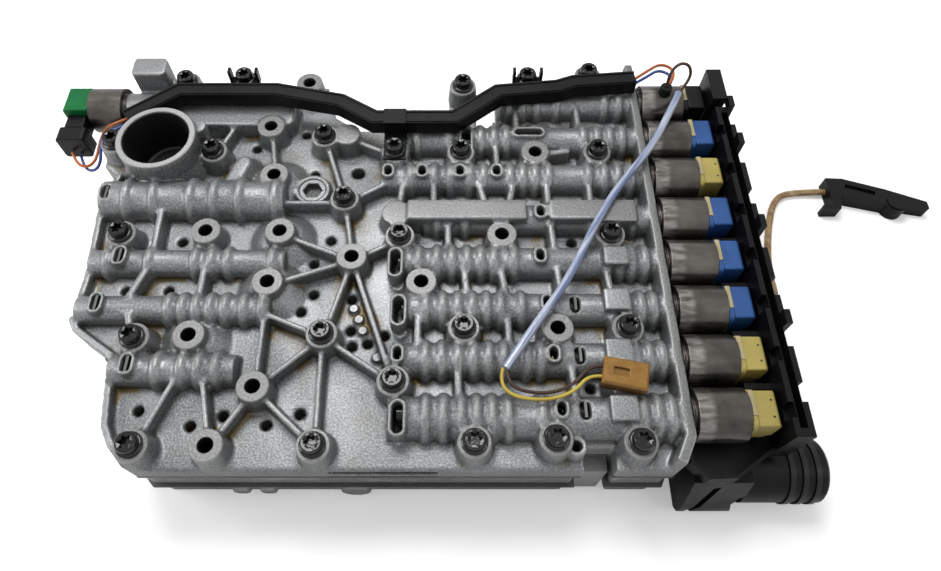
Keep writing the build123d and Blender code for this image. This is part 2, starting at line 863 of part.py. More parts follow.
with BuildPart() as channel_housing:
    with BuildSketch(Plane.XY.offset(lower_plate_top)):
        add(casting_outline.sketch)
        offset(amount=-layer_step)
        with Locations(*through_holes):
            Circle(bolt_hole_diameter / 2, mode=Mode.SUBTRACT)
        with Locations(*screw_spots, *duct_screw_spots, clamp_screw_spot):
            Circle(screw_hole_diameter / 2, mode=Mode.SUBTRACT)
    extrude(amount=channel_height)
    # Worm passages open to the plates above and below
    for height, depth in ((channel_top, -channel_depth), (lower_plate_top, channel_depth)):
        with BuildSketch(Plane.XY.offset(height)):
            for x, y, length, width in passages:
                with Locations((x, y)):
                    SlotOverall(length, width)
        extrude(amount=depth, mode=Mode.SUBTRACT)
    # Openings in the front face
    with BuildSketch(Plane.XZ.offset(-front_y - layer_step)):
        for x, z, length, height in front_openings:
            with Locations((x, z)):
                Rectangle(length, height)
    extrude(amount=-front_opening_depth, mode=Mode.SUBTRACT)
channel_housing.part.label = "channel_housing"

with BuildPart() as lower_valve_housing:
    with BuildSketch():
        add(casting_outline.sketch)
        offset(amount=-2 * layer_step)
    extrude(amount=lower_housing_height)
    with BuildSketch(Plane.XZ.offset(-front_y - lower_tube_reach)):
        for x, radius in lower_tubes:
            with Locations((x, lower_tube_z)):
                Circle(radius)
    extrude(amount=lower_tube_reach)
    with BuildSketch():
        with Locations(*through_holes):
            Circle(bolt_hole_diameter / 2)
    extrude(amount=lower_housing_height, mode=Mode.SUBTRACT)
    with BuildSketch(Plane.XY.offset(lower_housing_height)):
        with Locations(*screw_spots, *duct_screw_spots, clamp_screw_spot):
            Circle(screw_hole_diameter / 2)
    extrude(amount=boss_top - screw_hole_depth - lower_housing_height, mode=Mode.SUBTRACT)
    for height, depth in ((lower_housing_height, -channel_depth), (0, channel_depth / 2)):
        with BuildSketch(Plane.XY.offset(height)):
            for x, y, length, width in passages:
                with Locations((x, y)):
                    SlotOverall(length, width)
        extrude(amount=depth, mode=Mode.SUBTRACT)
lower_valve_housing.part.label = "lower_valve_housing"


def screw_group(spots, seat_z):
    """Flanged screws with a socket head, seated at one height."""
    with BuildPart() as screws:
        with BuildSketch(Plane.XY.offset(seat_z)):
            with Locations(*spots):
                Circle(screw_diameter / 2)
        extrude(amount=-screw_length)
        with BuildSketch(Plane.XY.offset(seat_z)):
            with Locations(*spots):
                Circle(screw_flange_diameter / 2)
        extrude(amount=screw_flange_height)
        with BuildSketch(Plane.XY.offset(seat_z + screw_flange_height)):
            with Locations(*spots):
                Circle(screw_head_diameter / 2)
        extrude(amount=screw_head_height)
        with BuildSketch(Plane.XY.offset(seat_z + screw_flange_height + screw_head_height)):
            with Locations(*spots):
                RegularPolygon(screw_socket / 2, 6, major_radius=False)
        extrude(amount=-screw_socket_depth, mode=Mode.SUBTRACT)
    return screws


stack_screws = screw_group(screw_spots, boss_top)
stack_screws.part.label = "stack_screws"
duct_screws = screw_group(duct_screw_spots, boss_top + ear_thickness)
duct_screws.part.label = "duct_screws"
clamp_screw = screw_group([clamp_screw_spot], boss_top + clamp_thickness)
clamp_screw.part.label = "clamp_screw"

with BuildPart() as screw_plug:
    with BuildSketch(Plane.XY.offset(floor_z + plug_ring_height - screw_plug_length)):
        with Locations(plug_ring_spot):
            Circle(screw_plug_radius)
    extrude(amount=screw_plug_length - screw_plug_sink)
    with BuildSketch(Plane.XY.offset(floor_z + plug_ring_height - screw_plug_sink)):
        with Locations(plug_ring_spot):
            RegularPolygon(screw_plug_hex / 2, 6, major_radius=False)
    extrude(amount=-screw_plug_hex_depth, mode=Mode.SUBTRACT)
screw_plug.part.label = "screw_plug"


def spool_part(y, start, end, name):
    """Spool valve with lands at both ends and along its length, necks between them."""
    length = abs(end - start)
    lands = max(2, round(length / land_pitch))
    pitch = (length - land_length) / (lands - 1)
    left = min(start, end)
    points = [(left, axis_z)]
    for index in range(lands):
        x = left + index * pitch
        points.append((x, axis_z + spool_neck_radius))
        points.append((x, axis_z + spool_diameter / 2))
        points.append((x + land_length, axis_z + spool_diameter / 2))
        points.append((x + land_length, axis_z + spool_neck_radius))
    points.append((left + length, axis_z))
    points = [point for index, point in enumerate(points) if index not in (1, len(points) - 2)]
    with BuildPart() as spool:
        with BuildSketch(Plane.XZ.offset(-y)):
            with BuildLine():
                Polyline(*points, close=True)
            make_face()
        revolve(axis=Axis((0, y, axis_z), (1, 0, 0)))
    spool.part.label = name
    return spool


def tube_part(y, start, end, outer, inner, name):
    """Plain sleeve along a valve axis."""
    with BuildPart() as sleeve:
        with BuildSketch(Plane.YZ.offset(min(start, end))):
            with Locations((y, axis_z)):
                Circle(outer)
                Circle(inner, mode=Mode.SUBTRACT)
        extrude(amount=abs(end - start))
    sleeve.part.label = name
    return sleeve


rows = []
for number in right_rows:
    plug_end = right_clip(number) - clip_thickness / 2
    spring_end = plug_end - plug_length
    rows.append((f"right_{number + 1}", row_y(number), right_bore_start(number),
                 spring_end - spring_length, spring_end, plug_end, 1))
for name, (y, blind, clip_x, radius, beads, mouth) in left_rows.items():
    plug_end = clip_x + clip_thickness / 2
    spring_end = plug_end + plug_length
    rows.append((f"left_{name}", y, blind - blind_wall, spring_end + spring_length, spring_end,
                 plug_end, -1))

valves = []
for name, y, blind, spool_end, spring_end, plug_end, side in rows:
    valves.append(spool_part(y, blind, spool_end, f"spool_{name}"))
    valves.append(tube_part(y, spool_end, spring_end, spring_outer_radius, spring_inner_radius,
                            f"spring_{name}"))

with BuildPart() as bore_plugs:
    for name, y, blind, spool_end, spring_end, plug_end, side in rows:
        with BuildSketch(Plane.YZ.offset(spring_end)):
            with Locations((y, axis_z)):
                Circle(bore_radius - plug_clearance)
        extrude(amount=side * plug_length)
bore_plugs.part.label = "bore_plugs"

with BuildPart() as plug_clips:
    for name, y, blind, spool_end, spring_end, plug_end, side in rows:
        if name in ("right_1", "right_2", "right_3") or side < 0:
            with BuildSketch(Plane.YZ.offset(plug_end)):
                with Locations((y, axis_z + (clip_rise - clip_drop) / 2)):
                    Rectangle(clip_width, clip_rise + clip_drop)
            extrude(amount=side * clip_thickness)
plug_clips.part.label = "plug_clips"


def solenoid_body(centers, face_x, side, length, name):
    """Steel body of one or more solenoids: nose in the bore, shoulder and can."""
    with BuildPart() as body:
        with BuildSketch(Plane.YZ.offset(face_x)):
            with Locations(*[(y, axis_z) for y in centers]):
                Circle(nose_diameter / 2)
        extrude(amount=-side * (nose_length - nose_end_gap))
        with BuildSketch(Plane.YZ.offset(face_x)):
            with Locations(*[(y, axis_z) for y in centers]):
                Circle(shoulder_diameter / 2)
        extrude(amount=side * shoulder_length)
        with BuildSketch(Plane.YZ.offset(face_x + side * shoulder_length)):
            with Locations(*[(y, axis_z) for y in centers]):
                Circle(can_diameter / 2)
        extrude(amount=side * length)
    body.part.label = name
    return body


def solenoid_caps(centers, start_x, side, length, name):
    """Plastic end caps with a flat top and a sloping outer end."""
    end_x = start_x + side * length
    low = axis_z - cap_drop
    high = axis_z + cap_rise
    with BuildPart() as caps:
        for y in centers:
            with BuildSketch(Plane.XZ.offset(-y)):
                with BuildLine():
                    Polyline((start_x, low), (start_x, high), (end_x - side, high),
                             (end_x, high - 1.5), (end_x, low + cap_slope),
                             (end_x - side * cap_slope, low), close=True)
                make_face()
            extrude(amount=cap_width / 2, both=True)
    caps.part.label = name
    return caps


collar_x = flange_x + shoulder_length + can_length
cap_x = collar_x + collar_length
solenoid_bodies = solenoid_body(solenoid_y, flange_x, 1, can_length, "solenoid_bodies")
yellow_caps = solenoid_caps([solenoid_y[0], solenoid_y[1], solenoid_y[5]], cap_x, 1, cap_length,
                            "yellow_caps")
blue_caps = solenoid_caps([solenoid_y[2], solenoid_y[3], solenoid_y[4], solenoid_y[6]], cap_x, 1,
                          cap_length, "blue_caps")
dark_cap = solenoid_caps([solenoid_y[7]], cap_x, 1, cap_length, "dark_cap")
with BuildPart() as cap_collars:
    with BuildSketch(Plane.YZ.offset(collar_x)):
        with Locations(*[(y, axis_z) for y in solenoid_y]):
            RectangleRounded(cap_width + 2.0, 2 * cap_rise + 0.8, 3.0)
    extrude(amount=collar_length)
cap_collars.part.label = "cap_collars"
left_solenoid = solenoid_body([left_solenoid_y], left_face_x, -1, left_can_length,
                              "left_solenoid_body")
left_cap_x = left_face_x - shoulder_length - left_can_length
green_cap = solenoid_caps([left_solenoid_y], left_cap_x, -1, left_cap_length, "green_cap")
cap_front_y = left_solenoid_y - cap_width / 2
with BuildPart() as left_plug:
    with BuildSketch(Plane.XZ.offset(-cap_front_y)):
        with Locations((left_cap_x - left_cap_length / 2, axis_z)):
            RectangleRounded(left_cap_length - 3.0, plug_neck_height, 1.5)
    extrude(amount=plug_neck_length)
    with BuildSketch(Plane.XZ.offset(plug_neck_length - cap_front_y)):
        with Locations((left_cap_x - left_cap_length / 2, axis_z - plug_body_drop)):
            RectangleRounded(left_cap_length + 1.5, plug_body_height, 2.0)
    extrude(amount=plug_neck_length)
left_plug.part.label = "left_plug"

# Wiring duct: a hollow box section that follows the valves, with an ear at each screw
with BuildLine() as duct_line:
    Polyline(*duct_points)
with BuildPart() as wiring_duct:
    with BuildSketch(Plane.XY.offset(duct_bottom)):
        add(duct_line.line)
        trace(line_width=duct_width)
    extrude(amount=duct_height)
    with BuildSketch(Plane.XY.offset(boss_top)):
        for x, y in duct_screw_spots:
            with BuildLine():
                Line((x, y), (x, y - ear_length))
            trace(line_width=ear_width)
            with Locations((x, y)):
                Circle(ear_width / 2)
                Circle(screw_hole_diameter / 2, mode=Mode.SUBTRACT)
    extrude(amount=ear_thickness)
    with BuildSketch(Plane.XY.offset(duct_bottom + duct_wall)):
        with BuildLine():
            Polyline(*duct_points)
        trace(line_width=duct_width - 2 * duct_wall)
    extrude(amount=duct_height - 2 * duct_wall, mode=Mode.SUBTRACT)
    # Tabs beside the screws
    with BuildSketch(Plane.XY.offset(boss_top)):
        for x, y in duct_screw_spots:
            with Locations((x - ear_tab_reach, y), (x + ear_tab_reach, y)):
                Rectangle(ear_tab_thickness, ear_tab_width)
    extrude(amount=tab_height)
    with BuildSketch(Plane.XY.offset(boss_top)):
        for x, y in duct_screw_spots:
            with Locations((x, y)):
                Rectangle(2 * ear_tab_reach + ear_tab_thickness, ear_tab_width)
                Circle(screw_flange_diameter / 2 + flange_room / 2, mode=Mode.SUBTRACT)
    extrude(amount=ear_thickness)
wiring_duct.part.label = "wiring_duct"

with BuildPart() as clamp_strap:
    x, y = clamp_screw_spot
    with BuildSketch(Plane.YZ.offset(x - clamp_width / 2)):
        with BuildLine():
            Polyline((y - clamp_reach, boss_top), (clamp_face_y, boss_top), (clamp_face_y, duct_top),
                     (clamp_face_y + duct_width, duct_top),
                     (clamp_face_y + duct_width, duct_top + clamp_thickness),
                     (clamp_face_y - clamp_thickness, duct_top + clamp_thickness),
                     (clamp_face_y - clamp_thickness, boss_top + clamp_thickness),
                     (y - clamp_reach, boss_top + clamp_thickness), close=True)
        make_face()
    extrude(amount=clamp_width)
    with BuildSketch(Plane.XY.offset(boss_top)):
        with Locations(clamp_screw_spot):
            Circle(screw_hole_diameter / 2)
    extrude(amount=clamp_thickness, mode=Mode.SUBTRACT)
clamp_strap.part.label = "clamp_strap"

# Plastic frame that backs the solenoids: floor, webs, slotted rail and a taller back post
tray_rim = [
    (rail_outer_x, rail_start_y),
    (180.0, rail_start_y),
    (162.0, -106.0),
    (149.0, -106.5),
    (142.0, -99.0),
    (flange_x, -91.5),
]
frame_top = axis_z - can_diameter / 2
frame_bottom = frame_top - frame_floor_thickness
rail_middle = ((rail_inner_x + rail_outer_x) / 2, (rail_start_y + rail_end_y) / 2)
rail_length = rail_end_y - rail_start_y
with BuildPart() as solenoid_frame:
    with BuildSketch(Plane.XY.offset(frame_bottom)):
        with BuildLine():
            Polyline((flange_x, frame_front_y), (flange_x, frame_back_y), (post_x, frame_back_y),
                     (post_x, frame_tail_y), (rail_inner_x + 3.0, frame_tail_y),
                     (rail_outer_x, post_front_y + 2.0), *tray_rim, close=True)
        make_face()
    extrude(amount=frame_floor_thickness)
    # Lip along the front of the tray
    with BuildSketch(Plane.XY.offset(frame_top)):
        with BuildLine():
            Polyline(*tray_rim)
        trace(line_width=2 * lip_thickness)
        with BuildLine():
            Polyline((flange_x, frame_front_y), (rail_outer_x, frame_front_y), *tray_rim,
                     close=True)
        make_face(mode=Mode.INTERSECT)
    extrude(amount=lip_height)
    # Rail with an open groove along its top
    with BuildSketch(Plane.XY.offset(frame_top)):
        with Locations(rail_middle):
            Rectangle(rail_outer_x - rail_inner_x, rail_length)
    extrude(amount=rail_height)
    with BuildSketch(Plane.XY.offset(frame_top + rail_height)):
        with Locations(rail_middle):
            Rectangle(rail_groove_width, rail_length - 8.0)
    extrude(amount=-rail_groove_depth, mode=Mode.SUBTRACT)
    # Stepped cuts in the outer wall, one at each solenoid
    with BuildSketch(Plane.XY.offset(frame_top + rail_height)):
        for number in range(7):
            with Locations((rail_outer_x, row_y(number) + 6.0)):
                Rectangle(5.0, 9.0)
            with Locations((rail_inner_x, row_y(number) - 2.0)):
                Rectangle(4.6, 7.0)
    extrude(amount=-rail_cut_depth, mode=Mode.SUBTRACT)
    # Hooks that stand above the rail and the walls between the solenoids
    with BuildSketch(Plane.XY.offset(frame_top + rail_height)):
        for number in (1, 3, 5, 6):
            with Locations((rail_outer_x - 1.4, row_y(number) + 14.0)):
                Rectangle(2.8, 7.0)
    extrude(amount=hook_height)
    with BuildSketch(Plane.XY.offset(frame_top)):
        for number in range(7):
            with Locations(((web_start_x + rail_inner_x) / 2, row_y(number) + row_pitch / 2)):
                Rectangle(rail_inner_x - web_start_x, web_width)
    extrude(amount=web_height)
    # Back post with a bevelled top
    with BuildSketch(Plane.XZ.offset(-post_front_y)):
        with BuildLine():
            Polyline((post_x, frame_top), (post_x, post_top), (post_x + 8.0, post_top),
                     (rail_outer_x - 3.0, post_top - 12.0), (rail_outer_x - 3.0, frame_top),
                     close=True)
        make_face()
    extrude(amount=post_front_y - frame_back_y)
    # Outlet of the sensor lead, under the floor
    with BuildSketch(Plane.XY.offset(frame_bottom)):
        with Locations((rail_outer_x - 1.0 - outlet_length / 2, lead_route[0][1])):
            RectangleRounded(outlet_length, outlet_width, 1.5)
    extrude(amount=lead_route[0][2] - frame_bottom - 5.0)
    # Arms beside the dark solenoid
    with BuildSketch(Plane.XY.offset(frame_top)):
        with Locations((cap_x + 6.0, 113.8)):
            Rectangle(16.0, 2.4)
    extrude(amount=14.0)
solenoid_frame.part.label = "solenoid_frame"

with BuildPart() as socket_bracket:
    with BuildSketch(Plane.YZ.offset(bracket_start_x)):
        with BuildLine():
            Polyline((bracket_back_y, frame_bottom), (bracket_back_y, bracket_bottom + 5.0),
                     (bracket_back_y - 4.0, bracket_bottom),
                     (bracket_front_y + 3.0, bracket_bottom),
                     (bracket_front_y, bracket_bottom + 4.0), (bracket_front_y, 14.0),
                     (bracket_front_y + 6.0, frame_bottom), close=True)
        make_face()
    extrude(amount=socket_start_x - bracket_start_x)
    with BuildSketch(Plane.YZ.offset(socket_start_x)):
        with Locations((socket_y, socket_z)):
            Circle(socket_spigot_radius + plug_clearance)
    extrude(amount=-socket_spigot_length, mode=Mode.SUBTRACT)
    # Slanting groove and bevelled corner of the front wall
    with BuildSketch(Plane.XZ.offset(-bracket_front_y)):
        with BuildLine():
            Line((bracket_start_x + 4.0, bracket_bottom), (bracket_start_x + 13.0, frame_bottom))
        trace(line_width=3.0)
    extrude(amount=-groove_reach, mode=Mode.SUBTRACT)
    with BuildSketch(Plane.XZ.offset(-bracket_front_y)):
        with BuildLine():
            Polyline((socket_start_x, frame_bottom - 2.0), (socket_start_x, bracket_bottom),
                     (socket_start_x - bevel_reach, frame_bottom - 2.0), close=True)
        make_face()
    extrude(amount=-3.0, mode=Mode.SUBTRACT)
socket_bracket.part.label = "socket_bracket"

with BuildPart() as plug_socket:
    with BuildSketch(Plane.XZ.offset(-socket_y)):
        with BuildLine():
            Polyline(*socket_profile(), close=True)
        make_face()
    revolve(axis=Axis((0, socket_y, socket_z), (1, 0, 0)))
    # Contact pins on the inner wall of the socket
    with BuildSketch(Plane.YZ.offset(socket_end_x - socket_depth)):
        with Locations((socket_y, socket_z)):
            for radius, count in pin_circles:
                with PolarLocations(radius, count):
                    Circle(pin_radius)
    extrude(amount=pin_length)
plug_socket.part.label = "plug_socket"

with BuildPart() as socket_seals:
    for x in seal_positions:
        with BuildSketch(Plane.YZ.offset(x - seal_width / 2)):
            with Locations((socket_y, socket_z)):
                Circle(socket_radius + seal_stand)
                Circle(socket_radius - seal_groove_depth, mode=Mode.SUBTRACT)
        extrude(amount=seal_width)
socket_seals.part.label = "socket_seals"

with BuildPart() as wire_grommet:
    with BuildSketch(Plane.XY.offset(grommet_bottom)):
        with Locations(grommet_spot):
            Circle(grommet_radius)
    extrude(amount=grommet_height, taper=4)
wire_grommet.part.label = "wire_grommet"


def cord_radii(points):
    """Arc radius at each inner point: most of the shorter run beside it."""
    radii = []
    for before, corner, after in zip(points, points[1:], points[2:]):
        first = Vector(*corner) - Vector(*before)
        second = Vector(*after) - Vector(*corner)
        turn = radians(first.get_angle(second))
        radii.append(0.45 * min(first.length, second.length) / tan(turn / 2))
    return radii


def cord(routes, diameter, name):
    """Round cables of one colour, each a chain of straight runs joined by arcs."""
    with BuildPart() as cables:
        for points in routes:
            radii = cord_radii(points)
            print(name, "radii", [round(radius, 1) for radius in radii])
            with BuildLine() as path:
                FilletPolyline(*points, radius=radii)
            with BuildSketch(Plane(path.line @ 0, z_dir=path.line % 0)):
                Circle(diameter / 2)
            sweep(path=path.line)
            length = sum(edge.length for edge in path.edges())
            print(name, "length", round(length, 1), "section x length",
                  round(pi * diameter * diameter / 4 * length, 1))
    print(name, "volume", round(cables.part.volume, 1))
    cables.part.label = name
    return cables


orange_wires = cord(orange_routes, wire_diameter, "orange_wires")
blue_wires = cord(blue_routes, wire_diameter, "blue_wires")
brown_wire = cord(brown_routes, wire_diameter, "brown_wire")
yellow_wire = cord(yellow_routes, wire_diameter, "yellow_wire")
clear_sleeve = cord([sleeve_route], sleeve_diameter, "clear_sleeve")
sensor_lead = cord([lead_route], lead_diameter, "sensor_lead")

connector_axis = Vector(1, 0, 0).rotate(Axis.Z, connector_turn)
connector_plane = Plane((connector_x, connector_y, boss_top), x_dir=connector_axis)
with BuildPart() as ochre_connector:
    with BuildSketch(connector_plane):
        Rectangle(connector_length, connector_width)
    extrude(amount=connector_height)
    chamfer(ochre_connector.faces().sort_by(Axis.Z)[-1].edges(), 1.0)
    with BuildSketch(connector_plane.offset(connector_height)):
        with Locations((-2.0, 0)):
            Rectangle(7.0, 4.0)
    extrude(amount=-1.5, mode=Mode.SUBTRACT)
    end_plane = Plane(connector_plane.from_local_coords((-connector_length / 2, 0, wire_rise)),
                      x_dir=connector_axis.rotate(Axis.Z, 90), z_dir=connector_axis)
    with BuildSketch(end_plane):
        with Locations((-wire_gap / 2, 0), (wire_gap / 2, 0)):
            Circle(wire_diameter / 2 + 0.1)
    extrude(amount=3.0, mode=Mode.SUBTRACT)
ochre_connector.part.label = "ochre_connector"

with BuildPart() as sensor_body:
    with BuildSketch():
        with BuildLine():
            Polyline((sensor_start_x, 87.0), (278.0, 86.5), (302.0, 78.5), (313.0, 74.0),
                     (325.0, 69.0), (325.0, 64.0), (312.0, 66.5), (300.0, 67.0), (274.0, 73.5),
                     (272.0, 64.0), (262.0, 64.0), (262.0, 67.0), (sensor_start_x, 67.0), close=True)
        make_face()
        with Locations(sensor_disc_spot):
            Circle(sensor_disc_radius)
    extrude(amount=sensor_height)
    with BuildSketch(Plane.XY.offset(sensor_height)):
        with Locations(sensor_disc_spot):
            Circle(sensor_disc_radius - 1.2)
    extrude(amount=1.0)
    with BuildSketch(Plane.XY.offset(sensor_height)):
        with Locations(Location((287.0, 78.0), -19)):
            Rectangle(18.0, 3.0)
    extrude(amount=-2.0, mode=Mode.SUBTRACT)
    with BuildSketch(Plane.YZ.offset(sensor_start_x)):
        with Locations((lead_route[-1][1], lead_route[-1][2])):
            Circle(lead_diameter / 2 + 0.25)
    extrude(amount=3.0, mode=Mode.SUBTRACT)
sensor_body.part.label = "sensor_body"

for part in (upper_valve_housing, plates["upper_separator_plate"], channel_housing,
             plates["lower_separator_plate"], lower_valve_housing, stack_screws, duct_screws,
             clamp_screw, screw_plug, *valves, bore_plugs, plug_clips, solenoid_bodies,
             yellow_caps, blue_caps, dark_cap, cap_collars, left_solenoid, green_cap, left_plug,
             wiring_duct, clamp_strap, solenoid_frame, socket_bracket, plug_socket, socket_seals,
             wire_grommet, orange_wires, blue_wires, brown_wire, yellow_wire, clear_sleeve,
             sensor_lead, ochre_connector, sensor_body):
    export_step(part.part, f"parts/{part.part.label}.step")
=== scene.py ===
# %% [markdown]
# A transmission valve body is a stack of die castings that steer oil to the clutches of a
# gearbox. The solids come from the frame, where +X points to the row of solenoids, +Y to the
# wiring duct and +Z up. This script dresses them: it rounds the cast edges, winds the springs,
# lays the wires and gives each piece its finish. The place of each new piece is taken from the
# box of a solid wherever that is possible, so that it follows the solid.

import json
from math import atan2, cos, pi, radians

import bmesh
import bpy
from mathutils import Matrix, Vector


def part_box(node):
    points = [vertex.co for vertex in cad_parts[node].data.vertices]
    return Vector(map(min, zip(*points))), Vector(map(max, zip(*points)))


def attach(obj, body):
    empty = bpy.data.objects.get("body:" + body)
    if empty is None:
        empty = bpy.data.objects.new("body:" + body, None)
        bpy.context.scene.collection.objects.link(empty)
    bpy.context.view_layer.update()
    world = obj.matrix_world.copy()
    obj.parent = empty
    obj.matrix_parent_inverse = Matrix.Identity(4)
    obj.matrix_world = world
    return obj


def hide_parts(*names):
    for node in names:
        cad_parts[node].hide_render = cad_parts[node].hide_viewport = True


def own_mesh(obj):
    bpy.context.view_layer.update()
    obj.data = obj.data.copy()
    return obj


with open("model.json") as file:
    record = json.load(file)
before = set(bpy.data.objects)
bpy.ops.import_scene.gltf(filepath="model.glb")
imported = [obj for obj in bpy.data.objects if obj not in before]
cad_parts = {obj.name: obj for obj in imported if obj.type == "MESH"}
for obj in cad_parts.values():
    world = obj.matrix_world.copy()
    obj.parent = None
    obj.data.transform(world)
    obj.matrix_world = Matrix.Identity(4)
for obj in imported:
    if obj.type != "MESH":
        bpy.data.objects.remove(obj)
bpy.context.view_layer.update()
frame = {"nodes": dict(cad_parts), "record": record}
MM = 0.001

# %% [markdown]
# Plastics and steels differ in how far their colour wanders, how rough they are and how deep
# their grain is. One image per piece would need unwrapping; noise on Object coordinates doesn't,
# and it stays on the piece when the piece moves. So small helpers add one kind of node each, and
# one function builds a whole material from a few numbers.

# %% Material helpers
GRAIN_DEPTH = 0.3 * MM


def new_material(name):
    material = bpy.data.materials.new(name)
    material.use_nodes = True
    nodes = material.node_tree.nodes
    shader = nodes["Principled BSDF"]
    coords = nodes.new("ShaderNodeTexCoord")
    return material, material.node_tree, shader, coords.outputs["Object"]


def noise(tree, coords, scale, detail=4.0):
    node = tree.nodes.new("ShaderNodeTexNoise")
    node.inputs["Scale"].default_value = scale
    node.inputs["Detail"].default_value = detail
    tree.links.new(coords, node.inputs["Vector"])
    return node.outputs["Fac"]


def spread(tree, value, low, high, start=0.3, end=0.7):
    node = tree.nodes.new("ShaderNodeMapRange")
    for socket, number in zip(("From Min", "From Max", "To Min", "To Max"), (start, end, low, high)):
        node.inputs[socket].default_value = number
    tree.links.new(value, node.inputs["Value"])
    return node.outputs["Result"]


def blend_colours(tree, factor, first, second):
    node = tree.nodes.new("ShaderNodeMix")
    node.data_type = "RGBA"
    tree.links.new(factor, node.inputs["Factor"])
    for socket, colour in ((node.inputs[6], first), (node.inputs[7], second)):
        if isinstance(colour, bpy.types.NodeSocket):
            tree.links.new(colour, socket)
        else:
            socket.default_value = (*colour, 1.0)
    return node.outputs[2]


def add_bump(tree, shader, height, strength, distance):
    node = tree.nodes.new("ShaderNodeBump")
    node.inputs["Strength"].default_value = strength
    node.inputs["Distance"].default_value = distance
    tree.links.new(height, node.inputs["Height"])
    tree.links.new(node.outputs["Normal"], shader.inputs["Normal"])


def surface(name, light, dark, metallic=0.0, rough=(0.4, 0.55), grain=900, bump=0.0,
            wander=60.0, specular=0.5):
    """A material between two colours: wander and grain are the scales of the two noises."""
    material, tree, shader, coords = new_material(name)
    broad = noise(tree, coords, wander)
    tree.links.new(blend_colours(tree, spread(tree, broad, 0, 1), light, dark),
                   shader.inputs["Base Color"])
    tree.links.new(spread(tree, broad, *rough), shader.inputs["Roughness"])
    shader.inputs["Metallic"].default_value = metallic
    shader.inputs["Specular IOR Level"].default_value = specular
    if bump:
        add_bump(tree, shader, noise(tree, coords, grain, 2.0), bump, GRAIN_DEPTH)
    return material


print("material helpers ready, with grain", GRAIN_DEPTH / MM, "mm deep")

# %% [markdown]
# Plastics, rubbers and plated steels are the plain cases. Each colour is written as it should
# render, because the lamps are at a plain level. The glass-filled black plastics reflect little,
# the moulded caps are matt, and the wires are glossier.

# %% Plain finishes
finishes = {}


def plain(name, light, dark, **look):
    finishes[name] = surface(name, light, dark, **look)


plain("plate_steel", (0.12, 0.12, 0.12), (0.07, 0.07, 0.068), metallic=0.8, rough=(0.35, 0.5))
plain("black_steel", (0.006, 0.0055, 0.005), (0.002, 0.002, 0.002), rough=(0.06, 0.16),
      grain=700, bump=0.3, wander=300, specular=0.4)
# bright_steel is painted near black: it paints the shade in the windows where its pieces are seen
plain("bright_steel", (0.02, 0.02, 0.02), (0.006, 0.006, 0.006), rough=(0.12, 0.25),
      wander=300, specular=0.25)
plain("spring_steel", (0.3, 0.22, 0.1), (0.2, 0.14, 0.06), metallic=0.9, rough=(0.2, 0.35))
plain("blue_plastic", (0.026, 0.088, 0.27), (0.016, 0.055, 0.18), bump=0.15, specular=0.3)
plain("yellow_plastic", (0.41, 0.33, 0.095), (0.32, 0.26, 0.07), bump=0.15, specular=0.35)
plain("green_plastic", (0.005, 0.13, 0.036), (0.004, 0.095, 0.027), bump=0.15, specular=0.15)
plain("cream_plastic", (0.43, 0.37, 0.2), (0.32, 0.27, 0.14), rough=(0.45, 0.6), bump=0.15)
plain("black_plastic", (0.005, 0.005, 0.006), (0.003, 0.003, 0.004), rough=(0.22, 0.42),
      grain=1400, bump=0.35, specular=0.15)
plain("black_rubber", (0.007, 0.007, 0.007), (0.004, 0.004, 0.004), bump=0.2, specular=0.15)
plain("seal_rubber", (0.012, 0.012, 0.013), (0.006, 0.006, 0.007), rough=(0.25, 0.4),
      bump=0.1, specular=0.25)
plain("orange_insulation", (0.5, 0.13, 0.03), (0.34, 0.085, 0.02), rough=(0.25, 0.35),
      specular=0.3)
plain("blue_insulation", (0.02, 0.06, 0.3), (0.012, 0.04, 0.2), rough=(0.25, 0.35))
plain("brown_insulation", (0.06, 0.03, 0.02), (0.035, 0.017, 0.012), rough=(0.3, 0.4),
      specular=0.25)
plain("yellow_insulation", (0.56, 0.45, 0.07), (0.4, 0.28, 0.04), rough=(0.3, 0.4),
      specular=0.3)
plain("amber_tubing", (0.4, 0.28, 0.12), (0.18, 0.085, 0.03), rough=(0.12, 0.25), wander=240)
print(len(finishes), "plain finishes")

# %% [markdown]
# The cast aluminium carries most of the picture. Its skin is mid grey and finely speckled. Painted
# shade darkens its inner corners and a painted highlight brightens its edges. The Pointiness of the
# geometry is 0.5 on a flat face, less in a corner and more on an edge, so no map has to be painted.
# What depends on a place, such as a milled top, dried oil low on the floor or the painted shade of a
# bore, is found from the Object coordinates and the faces' normal.

# %% Heights and colours of the casting
FLOOR_Z = 51 * MM
BOSS_TOP = 63 * MM
PORT_RIM = 74 * MM
STRIP_Y = 24 * MM
STRIP_HALF = 7.5 * MM
BOLT_RADIUS = 3.5 * MM
RIM_REACH = 5.0 * MM
BOLT_HOLES = [(-86.5, 12.5), (-49.5, 12.5), (-52.0, -16.5), (21.7, -16.5), (-62.4, 80.7), (-56.7, 47.7),
              (-12.6, -2.5), (-84.6, -44.6), (-51.7, -69.6), (-67.9, -96.0), (80.9, 62.8), (61.3, 10.5),
              (85.3, -41.0), (-44.5, 113.0)]
MOUNTS = {mount["name"]: mount for mount in frame["record"]["mounts"]}
PORT = MOUNTS["oil_port"]
PORT_SPOT = PORT["pos_m"][:2]
PORT_RADIUS = PORT["dims"]["r_mm"] * MM

